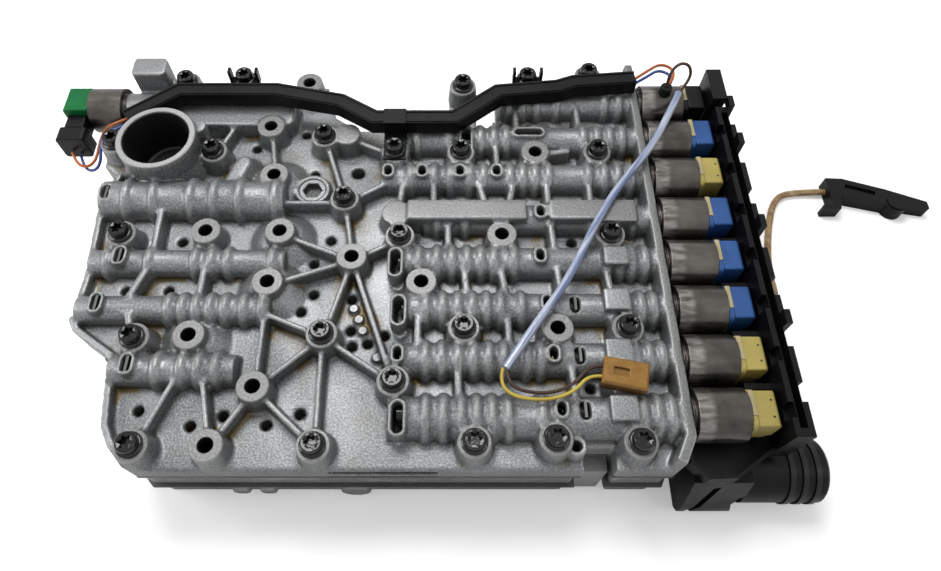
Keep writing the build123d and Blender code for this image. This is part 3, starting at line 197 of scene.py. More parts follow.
BLOTCH_SCALE = 28.0
SPECKLE_SCALE = 1000.0
CAST_ROUGHNESS = 0.38, 0.52
CAST_METAL = 0.6
CAST_BUMP = 0.55
SKIN = (0.175, 0.18, 0.185), (0.095, 0.1, 0.105)
SPECKLE = (0.42, 0.42, 0.42)
# the next two colours are painted shade for the inner corners and a painted highlight for the edges
CORNER_SHADE = (0.012, 0.012, 0.011)
EDGE_HIGHLIGHT = (0.38, 0.38, 0.38)
DRIED_OIL = (0.09, 0.065, 0.024)
MILLED = (0.19, 0.19, 0.187), (0.11, 0.11, 0.11)
MILLED_RIM = (0.27, 0.27, 0.27)
# near black, painted as the shade deep in the bores
BORE_SHADE_COLOUR = (0.004, 0.004, 0.004)
print("port of", round(PORT_RADIUS / MM, 2), "mm radius at", PORT_SPOT)

# %% [markdown]
# A mask is a value that is 1 on a place and 0 off it. It is made of a few math nodes: a height or
# a distance is measured, and a Map Range node turns it into a step with a soft edge.

# %% Measure places in a material
def node_of(tree, kind, operation, *values):
    """Add a math node whose inputs are sockets, numbers or vectors."""
    node = tree.nodes.new(kind)
    node.operation = operation
    for socket, value in zip(node.inputs, values):
        if isinstance(value, bpy.types.NodeSocket):
            tree.links.new(value, socket)
        else:
            socket.default_value = value
    return node.outputs["Value"]


def product(tree, *factors):
    result = factors[0]
    for factor in factors[1:]:
        result = node_of(tree, "ShaderNodeMath", "MULTIPLY", result, factor)
    return result


def parts_of(tree, vector):
    node = tree.nodes.new("ShaderNodeSeparateXYZ")
    tree.links.new(vector, node.inputs[0])
    return node.outputs


def below(tree, value, limit, fade):
    """1 up to the limit, then down to 0 over the fade."""
    return spread(tree, value, 1, 0, limit, limit + fade)


def above(tree, value, limit, fade):
    """0 up to the limit, then up to 1 over the fade."""
    return spread(tree, value, 0, 1, limit, limit + fade)


def seen_from_above(tree, coords):
    """The coordinates with their height taken away."""
    node = tree.nodes.new("ShaderNodeVectorMath")
    node.operation = "MULTIPLY"
    tree.links.new(coords, node.inputs[0])
    node.inputs[1].default_value = (1, 1, 0)
    return node.outputs[0]


def distance(tree, plan, x, y):
    return node_of(tree, "ShaderNodeVectorMath", "DISTANCE", plan, (x, y, 0))


print("helpers for masks ready")

# %% [markdown]
# A cutter faced the bosses, the port's rim and one flat strip, so these are smooth and even. A
# milled face is level and lies at one of the heights the cutter ran at, which is what is asked
# for here. The bores go deep, and their shade is painted black on faces marked by their distance
# from the axis.

# %% Milled faces and painted shade in the bores
LEVEL = 0.97, 0.995
CUTTER_SLACK = 0.8 * MM
MASK_FADE = 0.5 * MM
BORE_FADE = 0.4 * MM
FAR_AWAY = 1.0


def milled_faces(tree, place, facing, plan):
    """Two masks: the faces at the height of the bosses, and the port's rim."""
    level = spread(tree, facing["Z"], 0, 1, *LEVEL)
    high = above(tree, place["Z"], BOSS_TOP - CUTTER_SLACK, MASK_FADE)
    no_higher = below(tree, place["Z"], BOSS_TOP + CUTTER_SLACK, MASK_FADE)
    by_port = below(tree, distance(tree, plan, *PORT_SPOT), PORT_RADIUS + RIM_REACH, MASK_FADE)
    on_rim = product(tree, above(tree, place["Z"], PORT_RIM - 2 * MM, MM), by_port)
    off_strip = node_of(tree, "ShaderNodeMath", "ABSOLUTE",
                        node_of(tree, "ShaderNodeMath", "SUBTRACT", place["Y"], STRIP_Y))
    on_strip = below(tree, off_strip, STRIP_HALF, MASK_FADE)
    reached = node_of(tree, "ShaderNodeMath", "MAXIMUM", no_higher,
                      node_of(tree, "ShaderNodeMath", "MAXIMUM", on_rim, on_strip))
    return product(tree, level, high, reached), product(tree, level, on_rim)


def painted_bore_shade(tree, plan):
    """A mask of the painted shade in the suction port and the bolt holes."""
    in_port = below(tree, distance(tree, plan, *PORT_SPOT), PORT_RADIUS + 0.2 * MM, BORE_FADE)
    nearest = FAR_AWAY
    for x, y in BOLT_HOLES:
        away = distance(tree, plan, x * MM, y * MM)
        nearest = node_of(tree, "ShaderNodeMath", "MINIMUM", away, nearest)
    in_hole = below(tree, nearest, BOLT_RADIUS - 0.1 * MM, BORE_FADE)
    return node_of(tree, "ShaderNodeMath", "MAXIMUM", in_port, in_hole)


print("masks for the milled faces and", len(BOLT_HOLES), "bolt holes")

# %% [markdown]
# Oil has dried amber in some corners of the floor, but not on the screw plug, which was wiped.
# Three masks are multiplied for it: low on the casting, in a corner, and in a patch of a noise.

# %% Painted corner shade, painted edge highlight and dried oil
HOLLOW = 0.42, 0.493
CREST = 0.505, 0.6
# shares of the painted shade in the corners and of the painted highlight on the edges
CORNER_SHADE_SHARE = 0.92
EDGE_HIGHLIGHT_SHARE = 0.6
OIL_HEIGHT = FLOOR_Z + 2 * MM
OIL_FADE = 6 * MM
OIL_SCALE = 40.0
OIL_PATCHES = 0.54, 0.6
OIL_CORNER = 0.47, 0.499


def shaded_lit_and_oiled(tree, coords, place, plan, bend, skin):
    """The skin with painted shade in its corners, a painted highlight on its edges and oil low down."""
    hollow = spread(tree, bend, 1, 0, *HOLLOW)
    crest = spread(tree, bend, 0, 1, *CREST)
    # painted shade darkens the hollows, then a painted highlight lights the crests
    corner_shaded = blend_colours(tree, product(tree, hollow, CORNER_SHADE_SHARE), skin, CORNER_SHADE)
    edge_lit = blend_colours(tree, product(tree, crest, EDGE_HIGHLIGHT_SHARE), corner_shaded, EDGE_HIGHLIGHT)
    low = below(tree, place["Z"], OIL_HEIGHT, OIL_FADE)
    patches = spread(tree, noise(tree, coords, OIL_SCALE), 0, 1, *OIL_PATCHES)
    corner = spread(tree, bend, 1, 0, *OIL_CORNER)
    plug_low, plug_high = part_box("screw_plug")
    plug_middle = (plug_low + plug_high) / 2
    from_plug = distance(tree, plan, plug_middle.x, plug_middle.y)
    off_plug = above(tree, from_plug, (plug_high.x - plug_low.x) / 2, MASK_FADE)
    oil = product(tree, low, patches, corner, off_plug)
    return blend_colours(tree, oil, edge_lit, DRIED_OIL)


print("oil up to", round((OIL_HEIGHT + OIL_FADE) / MM, 1), "mm")

# %% [markdown]
# The layers now go over each other, the real ones in the order in which they came onto the
# casting: the cast skin with its speckle, then the painted shade in the corners, the painted highlight
# on the edges and the oil, then the milled faces, and the painted shade of the bores last. The same
# fine noise that speckles the skin also dents it.

# %% Cast aluminium
def cast_aluminium():
    material, tree, shader, coords = new_material("cast_aluminium")
    geometry = tree.nodes.new("ShaderNodeNewGeometry")
    place = parts_of(tree, coords)
    facing = parts_of(tree, geometry.outputs["Normal"])
    plan = seen_from_above(tree, coords)
    broad = noise(tree, coords, BLOTCH_SCALE)
    fine = noise(tree, coords, SPECKLE_SCALE, 3.0)
    skin = blend_colours(tree, spread(tree, broad, 0, 1), *SKIN)
    speckled = blend_colours(tree, spread(tree, fine, 0, 0.5, 0.4, 0.75), skin, SPECKLE)
    # the skin with its painted shade, painted highlights and dried oil
    shaded_and_stained = shaded_lit_and_oiled(tree, coords, place, plan, geometry.outputs["Pointiness"], speckled)
    on_tops, on_rim = milled_faces(tree, place, facing, plan)
    mill_marks = blend_colours(tree, spread(tree, fine, 0, 1), *MILLED)
    milled = blend_colours(tree, on_tops, shaded_and_stained, mill_marks)
    milled = blend_colours(tree, on_rim, milled, MILLED_RIM)
    # the painted shade of the bores goes over all, and takes the metal away
    bores = painted_bore_shade(tree, plan)
    tree.links.new(blend_colours(tree, bores, milled, BORE_SHADE_COLOUR), shader.inputs["Base Color"])
    tree.links.new(spread(tree, broad, *CAST_ROUGHNESS), shader.inputs["Roughness"])
    tree.links.new(spread(tree, bores, CAST_METAL, 0.0, 0, 1), shader.inputs["Metallic"])
    add_bump(tree, shader, fine, CAST_BUMP, GRAIN_DEPTH)
    return material


finishes["cast_aluminium"] = cast_aluminium()
print("cast aluminium with", len(BOLT_HOLES), "dark bolt holes")

# %% [markdown]
# The solenoid cans are drawn steel gone brown, with a painted highlight in a strip near the
# casting. Drawing leaves streaks: a noise is stretched along the can by a Mapping node.

# %% Solenoid steel
CAN_LENGTH = 23.0 * MM
CAN_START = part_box("solenoid_bodies")[1].x - CAN_LENGTH
# a painted highlight lies in a strip at the casting's end of each can, in the colour below
HIGHLIGHT_BAND = 5.5 * MM
BAND_FADE = 2.5 * MM
BROWN_STEEL = (0.12, 0.11, 0.1), (0.045, 0.04, 0.036)
HIGHLIGHT_STEEL = (0.26, 0.25, 0.235)


def can_steel():
    material, tree, shader, coords = new_material("can_steel")
    stretch = tree.nodes.new("ShaderNodeMapping")
    stretch.inputs["Scale"].default_value = (0.25, 1.0, 1.0)
    tree.links.new(coords, stretch.inputs["Vector"])
    streaks = noise(tree, stretch.outputs["Vector"], 420.0, 5.0)
    blotches = noise(tree, coords, 70.0, 4.0)
    along = parts_of(tree, coords)["X"]
    brown = blend_colours(tree, spread(tree, blotches, 0, 1), *BROWN_STEEL)
    past = above(tree, along, CAN_START, 0.3 * MM)
    within = below(tree, along, CAN_START + HIGHLIGHT_BAND, BAND_FADE)
    # the painted highlight, broken up by the streaks
    band = product(tree, past, within, spread(tree, streaks, 0.1, 1, 0.35, 0.65))
    tree.links.new(blend_colours(tree, band, brown, HIGHLIGHT_STEEL), shader.inputs["Base Color"])
    tree.links.new(spread(tree, streaks, 0.2, 0.36), shader.inputs["Roughness"])
    shader.inputs["Metallic"].default_value = 0.9
    add_bump(tree, shader, streaks, 0.15, 0.2 * MM)
    return material


finishes["can_steel"] = can_steel()
print("cans start at x =", round(CAN_START, 4))

# %% [markdown]
# The sleeve is clear tubing with a bluish haze. Real refraction through so thin a tube is slow
# and noisy, so the sleeve is solid here, and pale and dark streaks run along it, as the wires
# inside and the lamps above would show through its wall. The streaks are a noise that is turned
# to the sleeve's direction and stretched along it.

# %% Clear tubing
SLEEVE_TURN = 58
HAZE = (0.12, 0.16, 0.32), (0.46, 0.5, 0.58)


def clear_tubing():
    material, tree, shader, coords = new_material("clear_tubing")
    turned = tree.nodes.new("ShaderNodeMapping")
    turned.inputs["Rotation"].default_value = (0, 0, radians(-SLEEVE_TURN))
    tree.links.new(coords, turned.inputs["Vector"])
    stretched = tree.nodes.new("ShaderNodeMapping")
    stretched.inputs["Scale"].default_value = (0.06, 1.0, 1.0)
    tree.links.new(turned.outputs["Vector"], stretched.inputs["Vector"])
    streaks = noise(tree, stretched.outputs["Vector"], 420.0, 3.0)
    haze = blend_colours(tree, spread(tree, streaks, 0, 1, 0.38, 0.62), *HAZE)
    tree.links.new(haze, shader.inputs["Base Color"])
    tree.links.new(spread(tree, streaks, 0.08, 0.2), shader.inputs["Roughness"])
    shader.inputs["Coat Weight"].default_value = 0.3
    return material


finishes["clear_tubing"] = clear_tubing()
print("sleeve streaks turned by", SLEEVE_TURN, "degrees")

# %% [markdown]
# The connector is cloudy amber nylon. Light gets into its upper edges and not into its foot, so
# its colour is blended by height, which costs far less than real translucency.

# %% Amber connector
CONNECTOR_FOOT = BOSS_TOP + 2 * MM
CONNECTOR_HEIGHT = 4.8 * MM
DEEP_AMBER = (0.07, 0.026, 0.005)
LIT_AMBER = (0.29, 0.15, 0.03)
CLOUD_AMBER = (0.15, 0.068, 0.012)


def amber_nylon():
    material, tree, shader, coords = new_material("ochre_plastic")
    rise = above(tree, parts_of(tree, coords)["Z"], CONNECTOR_FOOT, CONNECTOR_HEIGHT)
    clouds = spread(tree, noise(tree, coords, 260.0), 0, 0.6)
    depth = blend_colours(tree, rise, DEEP_AMBER, LIT_AMBER)
    tree.links.new(blend_colours(tree, clouds, depth, CLOUD_AMBER), shader.inputs["Base Color"])
    shader.inputs["Roughness"].default_value = 0.25
    shader.inputs["Specular IOR Level"].default_value = 0.3
    add_bump(tree, shader, noise(tree, coords, 500.0), 0.2, 0.2 * MM)
    return material


finishes["ochre_plastic"] = amber_nylon()
print("finishes", sorted(finishes))

# %% [markdown]
# Every solid takes the finish of its slot in the record. That is all that the plates, the clips
# and the spools need, because little of them is seen.

# %% Dress the CAD nodes
slots = {part["node"]: part["material_slot"] for part in frame["record"]["subparts"]}
body_of_node = {}
for body, members in frame["record"]["behaviour"]["bodies"].items():
    for member in members:
        body_of_node[member] = body
for node, obj in frame["nodes"].items():
    obj.data.materials.clear()
    obj.data.materials.append(finishes[slots[node]])
print(len(slots), "nodes dressed")

# %% [markdown]
# A piece that needs more than a finish is made anew, or copied from its solid. A solid's mesh is
# loose triangles, so a copy has its doubles merged first and its normals worked out after that.
# The helpers here also find the box of each shell in a mesh, which tells where each of the many
# screws or caps in one node stands.

# %% Helpers for new pieces
WELD = 0.002 * MM
FLAT_ANGLE = 1.5
BEVEL_ANGLE = 35
SHADE_ANGLE = 40


def place(obj, node, finish=None):
    """Show obj in place of a CAD node, on its body and with its finish."""
    obj.data.materials.clear()
    obj.data.materials.append(finishes[finish or slots[node]])
    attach(obj, body_of_node[node])
    return obj


def object_from(bm, name):
    mesh = bpy.data.meshes.new(name)
    bm.to_mesh(mesh)
    bm.free()
    obj = bpy.data.objects.new(name, mesh)
    bpy.context.scene.collection.objects.link(obj)
    return obj


def merged_copy(node, name):
    bm = bmesh.new()
    bm.from_mesh(frame["nodes"][node].data)
    bmesh.ops.remove_doubles(bm, verts=bm.verts, dist=WELD)
    bmesh.ops.dissolve_limit(bm, angle_limit=radians(FLAT_ANGLE), verts=bm.verts, edges=bm.edges)
    bmesh.ops.recalc_face_normals(bm, faces=bm.faces)
    return object_from(bm, name)


def shells(node):
    """Lower and upper corner of each separate shell in a node's mesh."""
    bm = bmesh.new()
    bm.from_mesh(frame["nodes"][node].data)
    bmesh.ops.remove_doubles(bm, verts=bm.verts, dist=WELD)
    boxes, seen = [], set()
    for start in bm.verts:
        if start in seen:
            continue
        shell, queue = [], [start]
        seen.add(start)
        while queue:
            vert = queue.pop()
            shell.append(vert.co.copy())
            for edge in vert.link_edges:
                other = edge.other_vert(vert)
                if other not in seen:
                    seen.add(other)
                    queue.append(other)
        boxes.append((Vector(map(min, zip(*shell))), Vector(map(max, zip(*shell)))))
    bm.free()
    return boxes


def shade_by_angle(obj, degrees):
    for face in obj.data.polygons:
        face.use_smooth = True
    bm = bmesh.new()
    bm.from_mesh(obj.data)
    for edge in bm.edges:
        edge.smooth = len(edge.link_faces) == 2 and edge.calc_face_angle(0) < radians(degrees)
    bm.to_mesh(obj.data)
    bm.free()


def round_edges(obj, width):
    bevel = obj.modifiers.new("rounded edges", "BEVEL")
    bevel.width = width
    bevel.segments = 2
    bevel.limit_method = "ANGLE"
    bevel.angle_limit = radians(BEVEL_ANGLE)
    shade_by_angle(obj, SHADE_ANGLE)


print("helpers ready")

# %% [markdown]
# The three housings are die castings, so every inner corner is filled and every edge is soft.
# Bevels fail where this many tubes, bosses and ribs meet. Remeshing the solid into small even
# cells and smoothing them fills and rounds all corners at once. The cells are then thinned out to
# a number of triangles that every tool can carry, and the underside is kept flat.

# %% Castings
FINE_CELL = 0.9 * MM
COARSE_CELL = 1.5 * MM


def apply_modifiers(obj):
    """Put the result of the modifiers into the mesh."""
    deps = bpy.context.evaluated_depsgraph_get()
    mesh = bpy.data.meshes.new_from_object(obj.evaluated_get(deps))
    obj.modifiers.clear()
    obj.data = mesh


def cast(node, cell, rounds, limit):
    """Fill and round the corners of a casting, and keep it under a limit of triangles."""
    bm = bmesh.new()
    bm.from_mesh(frame["nodes"][node].data)
    bmesh.ops.remove_doubles(bm, verts=bm.verts, dist=WELD)
    obj = object_from(bm, "cast_" + node)
    remesh = obj.modifiers.new("cells", "REMESH")
    remesh.mode = "VOXEL"
    remesh.voxel_size = cell
    smooth = obj.modifiers.new("fillets", "SMOOTH")
    smooth.factor = 0.5
    smooth.iterations = rounds
    apply_modifiers(obj)
    count = 2 * len(obj.data.polygons)
    if count > limit:
        thin = obj.modifiers.new("fewer", "DECIMATE")
        thin.ratio = limit / count
        apply_modifiers(obj)
    low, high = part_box(node)
    for vert in obj.data.vertices:
        vert.co.z = max(vert.co.z, low.z)
    for face in obj.data.polygons:
        face.use_smooth = True
    place(obj, node)
    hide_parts(node)
    print(node, "cells", count, "kept", len(obj.data.polygons))


cast("upper_valve_housing", cell=FINE_CELL, rounds=3, limit=190000)
for node in ("channel_housing", "lower_valve_housing"):
    cast(node, cell=COARSE_CELL, rounds=1, limit=60000)

# %% [markdown]
# The notch in the front wall isn't cut right through: a web of the lower casting closes it. Its
# ends are inside the walls, so a plain cube is enough.

# %% Web in the notch
NOTCH_WEB = [(94.2, -99.5, 2.0), (107.8, -91.0, 32.0)]
bm = bmesh.new()
web_low, web_high = (Vector(corner) * MM for corner in NOTCH_WEB)
bmesh.ops.create_cube(bm, size=1.0, matrix=Matrix.Translation((web_low + web_high) / 2)
                      @ Matrix.Diagonal((*(web_high - web_low), 1)))
web = object_from(bm, "notch_web")
place(web, "lower_valve_housing")
print("notch web", len(web.data.polygons), "faces")

# %% [markdown]
# The cutter also left the tops of the bosses and of the suction port with crisp edges, which the
# small cells of the casting can't hold. A profile of a few points is spun to a thin ring that
# lies on each of them. The four pips on the floor are spun too, and their open ends are filled.

# %% Faced tops
BOSS_FACE = [(3.5, -1.5), (3.5, 0.03), (6.95, 0.03), (7.3, -0.35), (7.42, -1.5)]
PORT_FACE = [(17.0, -3.0), (17.0, -0.8), (17.7, 0.03), (20.1, 0.03), (20.5, -0.4), (20.5, -3.0)]
PIP_FACE = [(2.0, -2.6), (2.0, -0.2), (1.8, 0.03), (1.4, 0.03)]
PIP_TOP = 53.6
PIP_SPOTS = [(-11.0, -26.5), (-8.2, -32.2), (-6.0, -38.2), (1.5, -52.0)]
SCREW_SEAT = 5.2
TURN_STEPS = 48
CRISP_ANGLE = 30


def turned(bm, centre, profile, closed=True):
    """Spin a profile of radii and heights round a vertical axis; an open one leaves both ends open."""
    verts = [bm.verts.new(centre + Vector((radius, 0, height)) * MM) for radius, height in profile]
    pairs = list(zip(verts, verts[1:]))
    if closed:
        pairs.append((verts[-1], verts[0]))
    edges = [bm.edges.new(pair) for pair in pairs]
    bmesh.ops.spin(bm, geom=verts + edges, cent=centre, axis=(0, 0, 1), angle=2 * pi,
                   steps=TURN_STEPS, use_merge=True)


def close_ends(bm):
    """Fill every open loop and point all faces outwards."""
    bmesh.ops.holes_fill(bm, edges=[edge for edge in bm.edges if edge.is_boundary], sides=0)
    bmesh.ops.recalc_face_normals(bm, faces=bm.faces)


bm = bmesh.new()
for x, y in BOLT_HOLES:
    turned(bm, Vector((x * MM, y * MM, BOSS_TOP)), BOSS_FACE)
for low, high in shells("stack_screws"):
    turned(bm, Vector(((low.x + high.x) / 2, (low.y + high.y) / 2, high.z - SCREW_SEAT * MM)), BOSS_FACE)
turned(bm, Vector((PORT["pos_m"][0], PORT["pos_m"][1], PORT_RIM)), PORT_FACE)
for x, y in PIP_SPOTS:
    turned(bm, Vector((x, y, PIP_TOP)) * MM, PIP_FACE, closed=False)
close_ends(bm)
faced = object_from(bm, "faced_tops")
shade_by_angle(faced, CRISP_ANGLE)
place(faced, "upper_valve_housing")
print("faced tops", len(faced.data.polygons), "faces")

# %% [markdown]
# Moulded plastic pieces have small even edge radii. A bevel modifier on a welded copy gives
# them, so that light catches the rims, and its width stays easy to change. The screw plug gets
# the same, in the grey of the casting that it closes.

# %% Moulded pieces
def rounded(node, width, finish=None):
    """Show a copy of a solid with its hard edges rounded."""
    obj = merged_copy(node, "moulded_" + node)
    round_edges(obj, width)
    place(obj, node, finish)
    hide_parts(node)


for node, width in {"solenoid_frame": 0.4, "socket_bracket": 0.6, "plug_socket": 0.3,
                    "wiring_duct": 0.5, "clamp_strap": 0.3, "left_plug": 0.5, "green_cap": 0.7,
                    "dark_cap": 0.7, "blue_caps": 0.7, "yellow_caps": 0.7,
                    "sensor_body": 0.5, "ochre_connector": 0.4, "solenoid_bodies": 0.35,
                    "left_solenoid_body": 0.35}.items():
    rounded(node, width * MM)
rounded("screw_plug", 0.3 * MM, "cast_aluminium")
print("moulded pieces and the screw plug rounded")

# %% [markdown]
# The collar of each solenoid has the colour of its cap, so the one node of collars is copied
# three times and each copy keeps the rows of its caps.

# %% Collars
ROW_REACH = 13.0 * MM
COLLAR_ROUNDING = 0.4 * MM


def own_collars(node):
    """Copy the collars that belong to the caps of one node."""
    rows = [(low.y + high.y) / 2 for low, high in shells(node)]
    obj = merged_copy("cap_collars", "collars_of_" + node)
    bm = bmesh.new()
    bm.from_mesh(obj.data)
    others = [vert for vert in bm.verts if min(abs(vert.co.y - row) for row in rows) > ROW_REACH]
    bmesh.ops.delete(bm, geom=others, context="VERTS")
    bm.to_mesh(obj.data)
    bm.free()
    round_edges(obj, COLLAR_ROUNDING)
    return place(obj, "cap_collars", slots[node])


collars = [own_collars(node) for node in ("blue_caps", "yellow_caps", "dark_cap")]
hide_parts("cap_collars")
print(len(collars), "groups of collars")

# %% [markdown]
# A raised cream tab lies on each collar, so a cube is scaled to it and its edges are bevelled. The
# yellow caps have two small dimples near the outer end, so shallow that the shade in each is
# painted as a dark disc.

# %% Tabs and the painted shade of the dimples
TAB_SHARE = 0.62
TAB_STAND = 0.4 * MM
TAB_MARGIN = 1.2 * MM
TAB_SLIMMER = 0.3 * MM
TAB_ROUNDING = 0.15 * MM
DIMPLE_RADIUS = 0.55 * MM
DIMPLE_INSET = 2.8 * MM
DIMPLE_SPREAD = 3.8 * MM
JUST_ABOVE = 0.02 * MM

bm = bmesh.new()
for low, high in shells("cap_collars"):
    length = TAB_SHARE * (high.y - low.y)
    middle = Vector(((low.x + high.x) / 2, high.y - TAB_MARGIN - length / 2, high.z))
    size = Matrix.Diagonal((high.x - low.x - TAB_SLIMMER, length, 2 * TAB_STAND, 1))
    bmesh.ops.create_cube(bm, size=1.0, matrix=Matrix.Translation(middle) @ size)
bmesh.ops.bevel(bm, geom=bm.edges[:], affect="EDGES", offset=TAB_ROUNDING, segments=2, profile=0.5,
                material=-1)
tabs = object_from(bm, "cap_tabs")
place(tabs, "cap_collars", "cream_plastic")

bm = bmesh.new()
for low, high in shells("yellow_caps"):
    for side in (-1, 1):
        spot = Vector((high.x - DIMPLE_INSET, (low.y + high.y) / 2 + side * DIMPLE_SPREAD,
                       high.z + JUST_ABOVE))
        # a dark disc paints the shade in each dimple
        bmesh.ops.create_circle(bm, segments=16, radius=DIMPLE_RADIUS, cap_ends=True,
                                matrix=Matrix.Translation(spot))
dimples = object_from(bm, "cap_dimple_shades")
place(dimples, "yellow_caps", "brown_insulation")
print("tabs", len(tabs.data.polygons), "faces, dimples", len(dimples.data.polygons))

# %% [markdown]
# The duct is a channel with a lid, and the lid's rim stands out along both edges of its top. Each
# rim is two lines of points beside the duct's own bends, bridged to a strip and then raised.

# %% Rims of the duct's lid
DUCT_POINTS = [(-138.0, 79.5), (-113.0, 99.0), (-60.0, 99.0), (-24.0, 91.0), (-5.0, 79.0), (38.0, 79.0),
               (62.0, 98.0), (95.0, 101.5), (104.0, 105.0), (138.0, 108.0)]
DUCT_TOP = 72.2
RIM_WIDTH = 0.9
RIM_STAND = 0.5
RIM_OFFSET = 3.3


def beside(points, index, offset):
    """Point at a distance to the left of a bend in a line, on the line that halves the bend."""
    here = Vector(points[index])
    before = (here - Vector(points[index - 1])).normalized() if index else None
    after = (Vector(points[index + 1]) - here).normalized() if index + 1 < len(points) else None
    along = ((before or after) + (after or before)).normalized()
    stretch = 1 / along.dot(before or after)
    return here + Vector((-along.y, along.x)) * offset * stretch


bm = bmesh.new()
for side in (-1, 1):
    lines = []
    for across in (-1, 1):
        spots = [beside(DUCT_POINTS, index, side * RIM_OFFSET + across * RIM_WIDTH / 2)
                 for index in range(len(DUCT_POINTS))]
        verts = [bm.verts.new(Vector((spot.x, spot.y, DUCT_TOP)) * MM) for spot in spots]
        lines += [bm.edges.new(pair) for pair in zip(verts, verts[1:])]
    strip = bmesh.ops.bridge_loops(bm, edges=lines)["faces"]
    raised = bmesh.ops.extrude_face_region(bm, geom=strip)["geom"]
    bmesh.ops.translate(bm, vec=(0, 0, RIM_STAND * MM),
                        verts=[item for item in raised if isinstance(item, bmesh.types.BMVert)])
bmesh.ops.recalc_face_normals(bm, faces=bm.faces)
rims = object_from(bm, "duct_rims")
place(rims, "wiring_duct")
print("duct rims", len(rims.data.polygons), "faces")

# %% [markdown]
# A spring is a round wire wound along the valve's axis. A small circle is spun round the axis
# while it moves along it, which makes the coil in one step.

# %% Springs
WIRE_RADIUS = 0.5 * MM
WIRE_SIDES = 8
TURNS = 7
STEPS_PER_TURN = 20


def coil_spring(name):
    low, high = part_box("spring_" + name)
    length = high.x - low.x - 2 * WIRE_RADIUS
    centre = Vector((low.x + WIRE_RADIUS, (low.y + high.y) / 2, (low.z + high.z) / 2))
    radius = (high.z - low.z) / 2 - WIRE_RADIUS
    bm = bmesh.new()
    turn = Matrix.Translation(centre + Vector((0, 0, radius))) @ Matrix.Rotation(pi / 2, 4, "X")
    bmesh.ops.create_circle(bm, segments=WIRE_SIDES, radius=WIRE_RADIUS, matrix=turn, cap_ends=True)
    steps = TURNS * STEPS_PER_TURN
    bmesh.ops.spin(bm, geom=bm.faces[:], cent=centre, axis=(1, 0, 0),
                   dvec=Vector((length / steps, 0, 0)), angle=2 * pi * TURNS, steps=steps,
                   use_duplicate=False)
    bmesh.ops.recalc_face_normals(bm, faces=bm.faces)
    for face in bm.faces:
        face.smooth = True
    obj = object_from(bm, "coil_" + name)
    place(obj, "spring_" + name)
    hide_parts("spring_" + name)
    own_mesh(obj)


row_names = [f"right_{number}" for number in range(1, 9)]
row_names += ["left_one", "left_two", "left_three", "left_four"]
for name in row_names:
    coil_spring(name)
print(len(row_names), "springs of", TURNS, "turns")

# %% [markdown]
# The flanged screws are black, oily and domed, with a six-lobed recess. The body is a spun
# profile. The recess starts as a circle that is swollen into lobes, sunk and bridged to the head.
# One screw is made, and then it is set wherever the frame has a screw.

# %% Screws
SCREW_PROFILE = [(3.0, -60.2), (3.0, -5.2), (5.8, -5.2), (5.8, -4.3), (5.4, -3.9), (4.7, -3.7),
                 (4.7, -0.9), (4.5, -0.35), (4.1, 0.0), (3.0, 0.0)]
RECESS_RADIUS = 2.5
RECESS_RIM = -0.3
RECESS_DEPTH = 2.5
LOBES = 6
LOBE_SWELL = 0.16
SHARP_ANGLE = 38


def one_screw():
    """A screw with the middle of its top at the origin: a spun profile and a lobed recess."""
    bm = bmesh.new()
    turned(bm, Vector(), SCREW_PROFILE, closed=False)
    head_rim = [edge for edge in bm.edges if edge.is_boundary and abs(edge.verts[0].co.z) < MM]
    ring = bmesh.ops.create_circle(bm, segments=TURN_STEPS, radius=RECESS_RADIUS * MM,
                                   matrix=Matrix.Translation((0, 0, RECESS_RIM * MM)))["verts"]
    for vert in ring:
        reach = 1 + LOBE_SWELL * cos(LOBES * atan2(vert.co.y, vert.co.x))
        vert.co.x *= reach
        vert.co.y *= reach
    lobed_rim = list({edge for vert in ring for edge in vert.link_edges})
    sunk = bmesh.ops.extrude_edge_only(bm, edges=lobed_rim)["geom"]
    bmesh.ops.translate(bm, vec=(0, 0, -RECESS_DEPTH * MM),
                        verts=[item for item in sunk if isinstance(item, bmesh.types.BMVert)])
    bmesh.ops.bridge_loops(bm, edges=head_rim + lobed_rim)
    close_ends(bm)
    mesh = bpy.data.meshes.new("one_screw")
    bm.to_mesh(mesh)
    bm.free()
    return mesh


screw = one_screw()
for node in ("stack_screws", "duct_screws", "clamp_screw"):
    bm = bmesh.new()
    boxes = shells(node)
    for low, high in boxes:
        done = len(bm.verts)
        bm.from_mesh(screw)
        bm.verts.ensure_lookup_table()
        bmesh.ops.translate(bm, verts=bm.verts[done:],
                            vec=((low.x + high.x) / 2, (low.y + high.y) / 2, high.z))
    screws = object_from(bm, "flanged_" + node)
    shade_by_angle(screws, SHARP_ANGLE)
    place(screws, node)
    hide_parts(node)
    print(node, len(boxes), "screws")

# %% [markdown]
# Each wire lies where the photograph shows it, held at both ends. It follows the same points as
# its solid: a NURBS line of order 3 runs smoothly near them, and its bevel gives it thickness. The
# lengths are the real ones, so a wire that is laid another way must keep them.

